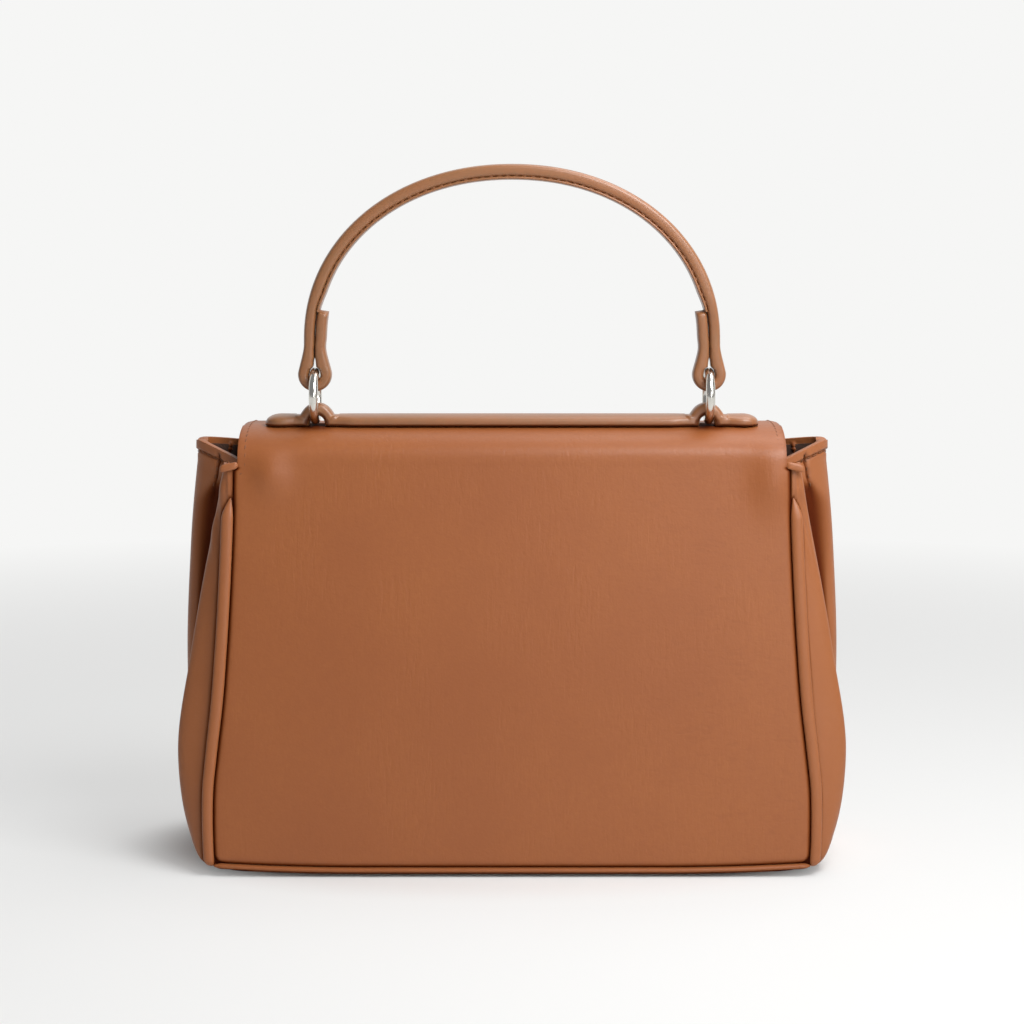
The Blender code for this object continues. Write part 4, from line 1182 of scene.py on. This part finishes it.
def side_welts():
    """A piped welt down each side seam: an oval section, a blunt tip and a round foot."""
    z = np.concatenate([
        WELT_LOW + 0.004 * slow_start(12), np.linspace(WELT_LOW + 0.0045, WELT_TIP - 0.009, 60),
        WELT_TIP - 0.0085 * (1 - slow_start(24)),
    ])
    inner, outer = welt_sides(z)
    thick = WELT_THICKNESS * welt_share(z)
    section = soft_section(outer - inner, thick, 24, 2.2)
    seat = half_depth(z) - across(LEATHER + CLEAR) + CLEAR
    x = ((inner + outer) / 2)[:, None] + section[..., 0]
    y = (seat + thick)[:, None] + section[..., 1]
    # The welt's sides sunk into the seam are darkened: a dark seam line and painted shade in the
    # recess beside the panel.
    seam = 0.9 * fade(-section[..., 1] / np.maximum(thick, 1e-6)[:, None], 0.50, 0.85)
    for side, hand in SIDES:
        for face, way in FACES:
            rings = settle(points_of(hand * x, way * y, z[:, None]))
            made = swept_piece(
                f"piping_{face}_{side}", rings, "folded_calf", seam,
            )
            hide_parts(f"side_welt_{face}_{side}")
            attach(made, "bag_body")


def base_welts():
    """The rolled strip between each panel's lower edge and the base."""
    reach = PANEL_BASE_HALF - 0.0002
    end = 0.004 * slow_start(8)
    x = np.concatenate([
        -reach + end, np.linspace(-reach + 0.005, reach - 0.005, 90), reach - end[::-1],
    ])
    share = np.sqrt(np.clip((reach - np.abs(x) + 0.0003) / 0.003, 0.05, 1))
    section = soft_section(PIPING_DEPTH * share, PIPING_HEIGHT * share, 16, 2.4)
    middle = BASE_HALF + 0.0010 - PIPING_DEPTH / 2
    z = PIPING_LIFT + PIPING_HEIGHT * (1 + share[:, None]) / 2 + section[..., 1]
    # The piping is a little darker all over, and painted shade lies on its underside.
    seam = 0.2 + 0.8 * fade(-section[..., 1], 0.0012, 0.0018)
    for face, way in FACES:
        rings = settle(points_of(x[:, None], way * middle + section[..., 0], z))
        made = swept_piece("base_piping_" + face, rings, "folded_calf", seam)
        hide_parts("base_welt_" + face)
        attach(made, "bag_body")


# Strap, rings and handle


def crown_height(y):
    """Height of the crown's face at a depth."""
    share = np.clip(np.abs(y - CROWN_MIDDLE) / CROWN_HALF, 0, 1)
    return BODY_TOP + CROWN_RISE * (1 - share**CROWN_POWER) ** (1 / CROWN_POWER)


def arch_lines():
    """The strap's underside and upper face over a ring, as pairs of points that face each other.

    The underside is a tunnel: a foot arc, a short wall and a half circle. The upper face is a
    larger half circle about the same middle, which runs out into the strap in a fillet.
    """
    radius, wall, spring, foot, fillet = 0.0030, 0.0040, 0.0010, 0.0008, 0.0024
    turn = np.linspace(0, math.pi / 2, 9)
    over = np.linspace(math.pi, math.pi / 2, 24)
    under = np.concatenate([
        np.stack([-radius - foot * (1 - np.sin(turn)), foot * (1 - np.cos(turn))], axis=1),
        np.stack([radius * np.cos(over), spring + radius * np.sin(over)], axis=1),
    ])
    outer = radius + wall
    x = -(outer + fillet) * np.cos(np.linspace(0, math.pi / 2, len(under)))
    dome = 0.0024 + np.sqrt(np.clip(outer**2 - x**2, 0, None))
    apart = np.clip(fillet - np.abs(dome - STRAP_TOP), 0, None)
    upper = np.stack([x, np.maximum(dome, STRAP_TOP) + apart**2 / (4 * fillet)], axis=1)
    under, upper = (
        np.concatenate([line, line[-2::-1] * (-1, 1)]) + (ARCH_X, 0) for line in (under, upper)
    )
    return under, upper, outer + fillet


def crown_strap():
    """The padded strap: it lies on the crown, and rises in an arch over each ring."""
    under, upper, edge = arch_lines()
    inside = np.linspace(0, ARCH_X - edge, 60)[:-1]
    outside = STRAP_REACH - (STRAP_REACH - ARCH_X - edge) * (1 - slow_start(30))[1:]
    first, last = (np.stack([x, np.zeros_like(x)], axis=1) for x in (inside, outside))
    lift = (0, STRAP_TOP)
    under = mirrored(np.concatenate([first, under, last]))
    upper = mirrored(np.concatenate([first + lift, upper, last + lift]))
    x = np.abs(upper[:, 0])
    end = np.clip((STRAP_REACH - x) / 0.0065, 0.004, 1)
    taper = np.sqrt(1 - (1 - end) ** 2)
    upper[:, 1] *= 0.30 + 0.70 * taper
    near_arch = fade(np.abs(x - ARCH_X) / edge, 1.6, 0.6)
    width = (STRAP_WIDTH + (ARCH_WIDTH - STRAP_WIDTH) * near_arch) * taper
    section = soft_section(width, np.ones_like(width), 36, 2.9)
    share = -section[..., 1]
    y = STRAP_Y + section[..., 0]
    line = upper[:, None] + (under - upper)[:, None] * share[..., None]
    seat = crown_height(STRAP_Y)
    fall = (crown_height(y) - seat) * fade(under[:, 1:], 0.0010, 0)
    rings = points_of(line[..., 0], y, seat + CLEAR * 0.5 + line[..., 1] + fall)
    # Painted shade along the strap's lower sides, where it meets the crown.
    low = fade(share, 0.62, 0.72) * fade(share, 0.92, 0.86)
    made = swept_piece("crown_strap", rings, "rolled_calf", seam=0.75 * low)
    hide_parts("base_strap")
    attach(made, "flap_crown")


def metal_rings():
    """Each ring is a round wire bent into a circle: a small circle carried round a large one."""
    around = np.linspace(0, 2 * math.pi, 96, endpoint=False)[:, None]
    about = np.linspace(0, 2 * math.pi, 24, endpoint=False)
    radius = RING_OUTER - WIRE + WIRE * np.cos(about)
    y, z = STRAP_Y + radius * np.cos(around), RING_Z + radius * np.sin(around)
    for side, hand in SIDES:
        grid = points_of(hand * RING_X + WIRE * np.sin(about), y, z)
        made = swept_piece(
            "metal_ring_" + side, grid, "nickel_plate", closed=True,
        )
        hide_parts("ring_" + side)
        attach(made, "ring_" + side)


def handle_half():
    """Outer face of the handle's right half: a superellipse, then the keyhole loop and its tab.

    The tab runs up against the inner face of the strap. Returns the line, and which of its
    points lie on the tab.
    """
    out, up = superellipse(np.linspace(math.pi / 2, 0, 120), HANDLE_POWER)
    arch = np.stack([HANDLE_HALF * out, HANDLE_SPRING + HANDLE_RISE * up], axis=1)
    outer = LOOP_HOLE / 2 + HANDLE_STRAP
    turn = np.radians(np.linspace(18, -198, 15))
    loop = np.stack([RING_X + outer * np.cos(turn), LOOP_Z + outer * np.sin(turn)], axis=1)
    neck = np.array([[RING_X + TAB_GAP / 2 + HANDLE_STRAP, LOOP_Z + NECK_RISE]])
    heights = neck[0, 1] + TAB_LENGTH * np.array([0, 0.35, 0.7, 1.0])
    side = np.concatenate([neck, arch[::-1]])
    strap_x = np.interp(heights, side[:, 1], side[:, 0])
    slope = np.gradient(strap_x, heights)
    tab_x = strap_x - (2 * HANDLE_STRAP + TAB_GAP) * np.sqrt(1 + slope**2)
    tab = np.stack([tab_x, heights], axis=1)
    gentle = evenly(through(arch, 1600), 0.0022)
    step = 0.0007
    tight = evenly(through(np.concatenate([arch[-1:], neck, loop, tab]), 1200), step)
    line = np.concatenate([gentle[:-1], tight])
    return line, np.arange(len(line)) >= len(line) - round(TAB_LENGTH / step)


def handle_width(half, on_tab):
    """The strap's width along a half: narrower at the loop, and round at the tab's end."""
    neck = LOOP_Z + NECK_RISE
    low = fade(half[:, 1], neck + 5 * HANDLE_STRAP, neck + HANDLE_STRAP)
    climb = np.clip((half[:, 1] - neck) / TAB_LENGTH, 0, 1)
    tab_end = np.sqrt(1 - np.clip((climb - 0.86) / 0.145, 0, 1) ** 2)
    strap = HANDLE_WIDTH + (LOOP_WIDTH - HANDLE_WIDTH) * low
    return np.where(on_tab, (LOOP_WIDTH + TAB_WIDENING * climb) * tab_end, strap)


def handle_thickness(half, on_tab):
    """The strap's thickness along a half: fuller over its filler above the tabs."""
    above = fade(half[:, 1], TAB_TOP + 0.001, TAB_TOP + 0.011) * ~on_tab
    return HANDLE_STRAP + HANDLE_FILLING * above


def strip_line(gap):
    """The handle from a gap above its tabs, with the strap's width and the strip's depth there."""
    half, on_tab = handle_half()
    keep = (half[:, 1] > TAB_TOP + gap) & ~on_tab
    depth = handle_thickness(half, on_tab)[keep] - STRIP_SUNK
    return mirrored(half[keep]), both_sides(handle_width(half, on_tab)[keep]), both_sides(depth)


def handle_rings(line, width, thick, depth, points, power):
    """Sections set square to a line in the XZ plane, at a depth below it."""
    normals = path_normals(line)
    section = soft_section(width, thick, points, power)
    offset = section[..., 1] - np.broadcast_to(depth, len(line))[:, None]
    x, z = (line[:, k:k + 1] + normals[:, k:k + 1] * offset for k in (0, 1))
    return points_of(x, STRAP_Y + section[..., 0], z), offset


def handle():
    """The strap, rolled over its filler and wrapped round both rings, with a strip under it.

    Between the loop and the neck its sections are drawn in to the hole, which is round
    where the ring's wire lies in it and narrows to a point above.
    """
    half, on_tab = handle_half()
    height = half[:, 1] - LOOP_Z
    round_wire = np.sqrt(np.clip(0.00208**2 - (height - 0.0010) ** 2, 0, None))
    pointed = 0.00052 * np.sqrt(np.clip((0.0068 - height) / 0.0039, 0, 1))
    hole = np.maximum(round_wire, pointed) + 0.00005
    drawn_in = fade(height, 0, 0.0012) * fade(height, NECK_RISE + 0.002, NECK_RISE + 0.0008)
    drawn_in = both_sides(drawn_in)[:, None]
    inward = RING_X + np.sign(half[:, 0] - RING_X) * hole
    inward = np.concatenate([-inward[:0:-1], inward])[:, None]
    line = mirrored(half)
    thick = both_sides(handle_thickness(half, on_tab))
    sections, offset = handle_rings(line, both_sides(handle_width(half, on_tab)), thick, 0, 36, 3.4)
    share = -offset / thick[:, None]
    closed = line[:, :1] + (inward - line[:, :1]) * share
    sections[..., 0] += (closed - sections[..., 0]) * drawn_in
    sections[..., 2] += (line[:, 1:] - sections[..., 2]) * drawn_in
    # A faint dark seam line where the strap meets the strip, with painted shade in that groove.
    made = swept_piece(
        "handle_leather", sections, "rolled_calf",
        seam=0.12 * fade(share, 0.93, 0.98),
    )
    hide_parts("handle_strap", "handle_core")
    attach(made, "handle")
    line, width, depth = strip_line(0.0003)
    thick = np.full(len(line), STRIP_THICKNESS)
    sections, _ = handle_rings(line, 0.985 * width, thick, depth, 28, 3.6)
    made = swept_piece("handle_strip", sections, "rolled_calf")
    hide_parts("handle_lining")
    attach(made, "handle")


# Stitches


def flap_stitches():
    """Rows inside the flap's edge: up the back, out to each notch, and round the tip."""
    x, low = FLAP_HALF - FLAP_INSET, BODY_TOP - 0.0012
    crown = crown_line(np.linspace(0, crown_split(), 60))
    back = np.concatenate([[(-half_depth(low), low)], crown])
    lean = (math.cos(PANEL_SLOPE), math.sin(PANEL_SLOPE))
    for side, hand in SIDES:
        up = points_of(0, *path_normals(back).T)
        made = stitch_row(
            "stitches_back_" + side, points_of(hand * x, *back.T), up, tilt=STITCH_TILT * hand,
        )
        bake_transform(made)
        notch = np.array([
            (hand * out, -half_depth(BODY_TOP - below), BODY_TOP - below)
            for out, below in ((x, 0.0015), (FLAP_HALF + 0.0002, 0.0045))
        ])
        up = np.array([(0, -lean[0], lean[1])] * 2)
        made = stitch_row("stitches_notch_" + side, notch, up, SHORT_STITCH)
        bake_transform(made)
    corner = FLAP_CORNER - FLAP_INSET
    spring = DROP_LOW + FLAP_CORNER
    rows = flap_front_rows()
    straight = rows[rows[:, 1] > spring, :2]
    arc = drop_line(spring - corner * np.sin(np.linspace(0, math.pi / 2, 30)))
    right = np.column_stack([
        np.concatenate([np.full(len(straight), x), x - corner * slow_start(len(arc))]),
        np.concatenate([straight, arc]),
    ])
    up = path_normals(rows[:, :2])[:len(straight)]
    up = points_of(0, *np.concatenate([up, np.tile(lean, (len(arc), 1))]).T)
    made = stitch_row(
        "stitches_flap", np.concatenate([right, right[::-1] * (-1, 1, 1)]),
        np.concatenate([up, up[::-1]]),
    )
    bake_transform(made)


def gusset_stitches():
    """A row under each gusset's rim, and one down each sewn pinch."""
    places = GUSSET_PLACES
    ends = [int(np.argmin(np.abs(places - place))) for place in (PINCH, LAST_PLACE - PINCH)]
    for side, hand in SIDES:
        grid, normals, _, _ = gusset_detail(hand)
        lifted = grid + normals * 0.0003
        from_rim = np.linalg.norm(grid - grid[-1:], axis=-1)
        columns = np.arange(ends[0] + 2, ends[1] - 1)
        at = np.argmin(np.abs(from_rim - RIM_SEAM), axis=0)[columns], columns
        made = stitch_row("stitches_rim_" + side, lifted[at], normals[at])
        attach(made, "bag_body")
        for face, start, end in (("back", 2.75, 4.1), ("front", 5.9, 7.25)):
            wall = np.flatnonzero((places > start) & (places < end))
            apart = np.abs(np.abs(grid[:, wall, 0]) - fold_line(grid[:, wall, 2]))
            columns = wall[np.argmin(apart, axis=1)]
            rows = np.arange(len(columns))
            down = from_rim[rows, columns]
            sewn = (down > 0.0010) & (down < 0.0175)
            at = rows[sewn][::-1], columns[sewn][::-1]
            made = stitch_row(
                f"stitches_pinch_{face}_{side}", lifted[at], normals[at], SHORT_STITCH,
            )
            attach(made, "bag_body")


def handle_stitches():
    """A row along each side of the handle, where the rolled strap meets the strip under it."""
    line, width, depth = strip_line(0.003)
    x, z = (line - path_normals(line) * depth[:, None]).T
    for face, way in FACES:
        sewn = points_of(x, STRAP_Y + way * width * 0.425, z)
        up = np.broadcast_to([0.0, way, 0.0], sewn.shape)
        made = stitch_row("stitches_handle_" + face, sewn, up, HANDLE_STITCH)
        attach(made, "handle")


# Base and hidden layers


def base_leather():
    """The base sheet: a rounded rectangle, flat in the middle and lifting to its ends."""
    end, depth, corner = BASE_END - 0.0045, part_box("base_panel")[1][1] - 0.0008, 0.014
    turn = corner * slow_start(10)
    straight = np.linspace(-depth + corner, depth - corner, 14)[1:-1]
    y = np.concatenate([-depth + turn, straight, depth - turn[::-1]])[:, None]
    half = end - corner_cut(depth - np.abs(y), corner)
    grid = settle(points_of(half * spread_to_edges(41), y, 0.0))
    # Painted shade along the base's edges, where the bag's underside lies in shadow.
    seam = bell(edge_distance(grid, False), 0.0035)
    made = sheet_piece(
        "base_leather", grid, grid + (0, 0, LEATHER), "plated_calf", seam, 0.0005,
    )
    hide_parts("base_panel")
    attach(made, "bag_body")


def dress_hidden_layers():
    """Finishes for the boards and the snap, which keep their own shapes."""
    finishes = {
        "fibre_board": (
            "back_board", "front_board", "base_board", "flap_crown_board", "flap_drop_board",
        ),
        "nickel_plate": ("snap_socket", "snap_socket_washer", "snap_stud", "snap_stud_washer"),
    }
    for finish, nodes in finishes.items():
        for node in nodes:
            for slot in bpy.data.objects[node].material_slots:
                slot.material = finish_named(finish)


# Stage

# Each lamp: its name, place, target, sides, power and colour.
LAMPS = (
    ("key", (0.85, -0.72, 0.62), (0.0, 0.0, 0.10), (0.50, 0.50), 2.75, (1.0, 0.99, 0.97)),
    ("over", (0.28, -0.34, 0.62), (0.03, 0.0, 0.12), (0.36, 0.30), 4.0, (1.0, 1.0, 1.0)),
    ("top", (0.35, 0.20, 1.15), (0.0, 0.0, 0.1), (0.8, 0.6), 5.6, (1.0, 1.0, 1.0)),
    ("front", (0.34, -1.10, 0.38), (0.06, 0.0, 0.13), (0.30, 0.28), 1.8, (1.0, 1.0, 1.0)),
)
AIR_COLOUR = (0.97, 0.98, 1.0, 1)
AIR_STRENGTH = 0.27
CAMERA_PLACE = (0.0, -0.95, 0.256)
CAMERA_DOWN = 6.8
CAMERA_LENS = 80.0
SENSOR_WIDTH = 36.0


def sweep_finish():
    """Matt white paint on a lit backdrop: what the camera and mirrors see of it also glows.

    The glow grows with the distance from the bag, so that the bag's own shade stays.
    """
    made, tree, place = new_finish("painted_sweep")
    tone = tuple(bpy.context.scene.bag_colours.floor)
    deeper = map_place(tree, place, Scale=(1.0, 1.9, 1.0))
    apart, apart_deeper = (
        add_node(tree, "ShaderNodeVectorMath", {"operation": "LENGTH"}, Vector=at).outputs["Value"]
        for at in (place, deeper)
    )
    far = map_value(tree, apart, 0.02, 0.56, 0.30, 1.30, "SMOOTHSTEP")
    near = map_value(tree, apart_deeper, 0.0, 0.53, 0.122, 0.175, "SMOOTHSTEP")
    rays = add_node(tree, "ShaderNodeLightPath").outputs
    seen = calculated(tree, "MAXIMUM", rays["Is Camera Ray"], rays["Is Glossy Ray"])
    share = calculated(tree, "MULTIPLY", seen, calculated(tree, "ADD", far, near))
    matt = add_node(tree, "ShaderNodeBsdfDiffuse", Color=darker(tone, 0.80))
    glow = add_node(tree, "ShaderNodeEmission", Color=tone, Strength=1.0)
    close_finish(tree, add_node(
        tree, "ShaderNodeMixShader", i0=share, i1=matt.outputs[0], i2=glow.outputs[0],
    ))
    return made


def studio_sweep():
    """A floor that curves up into a wall: two straight lines joined by a quarter circle."""
    front, back, radius, height, half_width = -5.0, 1.6, 1.2, 6.0, 7.0
    turn = np.linspace(0, math.pi / 2, 24)
    y = np.concatenate([[front], back + radius * np.sin(turn), [back + radius]])
    z = np.concatenate([[0.0], radius * (1 - np.cos(turn)), [height]])
    grid = points_of(np.array([-half_width, half_width]), y[:, None], z[:, None])
    sweep = make_mesh("studio_sweep", grid, quads_of(len(y), 2))
    sweep.data.shade_smooth()
    sweep.data.materials.append(sweep_finish())


def area_light(name, place, target, sides, power, colour):
    """A rectangular lamp that looks at its target."""
    lamp = bpy.data.lights.new(name, "AREA")
    lamp.shape = "RECTANGLE"
    lamp.size, lamp.size_y = sides
    lamp.energy = power
    lamp.color = colour
    made = bpy.data.objects.new(name, lamp)
    bpy.context.scene.collection.objects.link(made)
    made.location = place
    made.rotation_euler = (Vector(target) - Vector(place)).to_track_quat("-Z", "Y").to_euler()


def stage():
    """A pale sweep of floor and wall, soft lamps and the camera at the photograph's height."""
    scene = bpy.context.scene
    scene.view_settings.view_transform = "Standard"
    studio_sweep()
    world = bpy.data.worlds.new("studio_air")
    scene.world = world
    world.use_nodes = True
    air = world.node_tree.nodes["Background"].inputs
    air["Color"].default_value = AIR_COLOUR
    air["Strength"].default_value = AIR_STRENGTH
    for lamp in LAMPS:
        area_light(*lamp)
    camera = bpy.data.cameras.new("camera")
    camera.lens = CAMERA_LENS
    camera.sensor_width = SENSOR_WIDTH
    made = bpy.data.objects.new("camera", camera)
    scene.collection.objects.link(made)
    made.location = CAMERA_PLACE
    made.rotation_euler = (math.radians(90 - CAMERA_DOWN), 0, 0)
    scene.camera = made


# Operators and panel


class BAG_OT_panels(bpy.types.Operator):
    """Makes the front and back panels, the base and the flap"""

    bl_idname = "bag.panels"
    bl_label = "Panels and flap"

    def execute(self, context):
        back_leather()
        front_panel_leather()
        flap_front_leather()
        base_leather()
        return {"FINISHED"}


class BAG_OT_gussets(bpy.types.Operator):
    """Makes the two pleated gussets"""

    bl_idname = "bag.gussets"
    bl_label = "Gussets"

    def execute(self, context):
        gussets()
        return {"FINISHED"}


class BAG_OT_welts(bpy.types.Operator):
    """Makes the piped welts of the side and base seams"""

    bl_idname = "bag.welts"
    bl_label = "Welts"

    def execute(self, context):
        side_welts()
        base_welts()
        return {"FINISHED"}


class BAG_OT_linings(bpy.types.Operator):
    """Makes the linings of the bag and of its flap, and the slip pocket"""

    bl_idname = "bag.linings"
    bl_label = "Linings"

    def execute(self, context):
        bag_lining()
        flap_linings()
        slip_pocket()
        return {"FINISHED"}


class BAG_OT_handle(bpy.types.Operator):
    """Makes the crown strap, the rings and the handle"""

    bl_idname = "bag.handle"
    bl_label = "Strap, rings and handle"

    def execute(self, context):
        crown_strap()
        metal_rings()
        handle()
        return {"FINISHED"}


class BAG_OT_stitches(bpy.types.Operator):
    """Sews the rows of stitches"""

    bl_idname = "bag.stitches"
    bl_label = "Stitches"

    def execute(self, context):
        flap_stitches()
        gusset_stitches()
        handle_stitches()
        return {"FINISHED"}


class BAG_OT_hidden(bpy.types.Operator):
    """Gives the boards and the snap their finishes"""

    bl_idname = "bag.hidden"
    bl_label = "Boards and snap"

    def execute(self, context):
        dress_hidden_layers()
        return {"FINISHED"}


class BAG_OT_stage(bpy.types.Operator):
    """Sets up the sweep, the lamps and the camera"""

    bl_idname = "bag.stage"
    bl_label = "Stage"

    def execute(self, context):
        stage()
        return {"FINISHED"}


class BAG_PT_panel(bpy.types.Panel):
    """Lists the bag's sizes, colours and pieces"""

    bl_idname = "BAG_PT_panel"
    bl_label = "Flap bag"
    bl_space_type = "VIEW_3D"
    bl_region_type = "UI"
    bl_category = "Bag"

    def draw(self, context):
        for group in (context.scene.bag_sizes, context.scene.bag_colours):
            for key in group.bl_rna.properties.keys():
                if key not in ("rna_type", "name"):
                    self.layout.prop(group, key)
        for operator in OPERATORS:
            self.layout.operator(operator.bl_idname)


OPERATORS = (
    BAG_OT_panels, BAG_OT_gussets, BAG_OT_welts, BAG_OT_linings, BAG_OT_handle, BAG_OT_stitches,
    BAG_OT_hidden, BAG_OT_stage,
)
CLASSES = (BagSizes, BagColours, *OPERATORS, BAG_PT_panel)


def register():
    for made in CLASSES:
        bpy.utils.register_class(made)
    bpy.types.Scene.bag_sizes = bpy.props.PointerProperty(type=BagSizes)
    bpy.types.Scene.bag_colours = bpy.props.PointerProperty(type=BagColours)


def unregister():
    del bpy.types.Scene.bag_colours
    del bpy.types.Scene.bag_sizes
    for made in reversed(CLASSES):
        bpy.utils.unregister_class(made)


def main():
    register()
    bpy.ops.bag.panels()
    bpy.ops.bag.gussets()
    bpy.ops.bag.welts()
    bpy.ops.bag.linings()
    bpy.ops.bag.handle()
    bpy.ops.bag.stitches()
    bpy.ops.bag.hidden()
    bpy.ops.bag.stage()


if __name__ == "__main__":
    main()
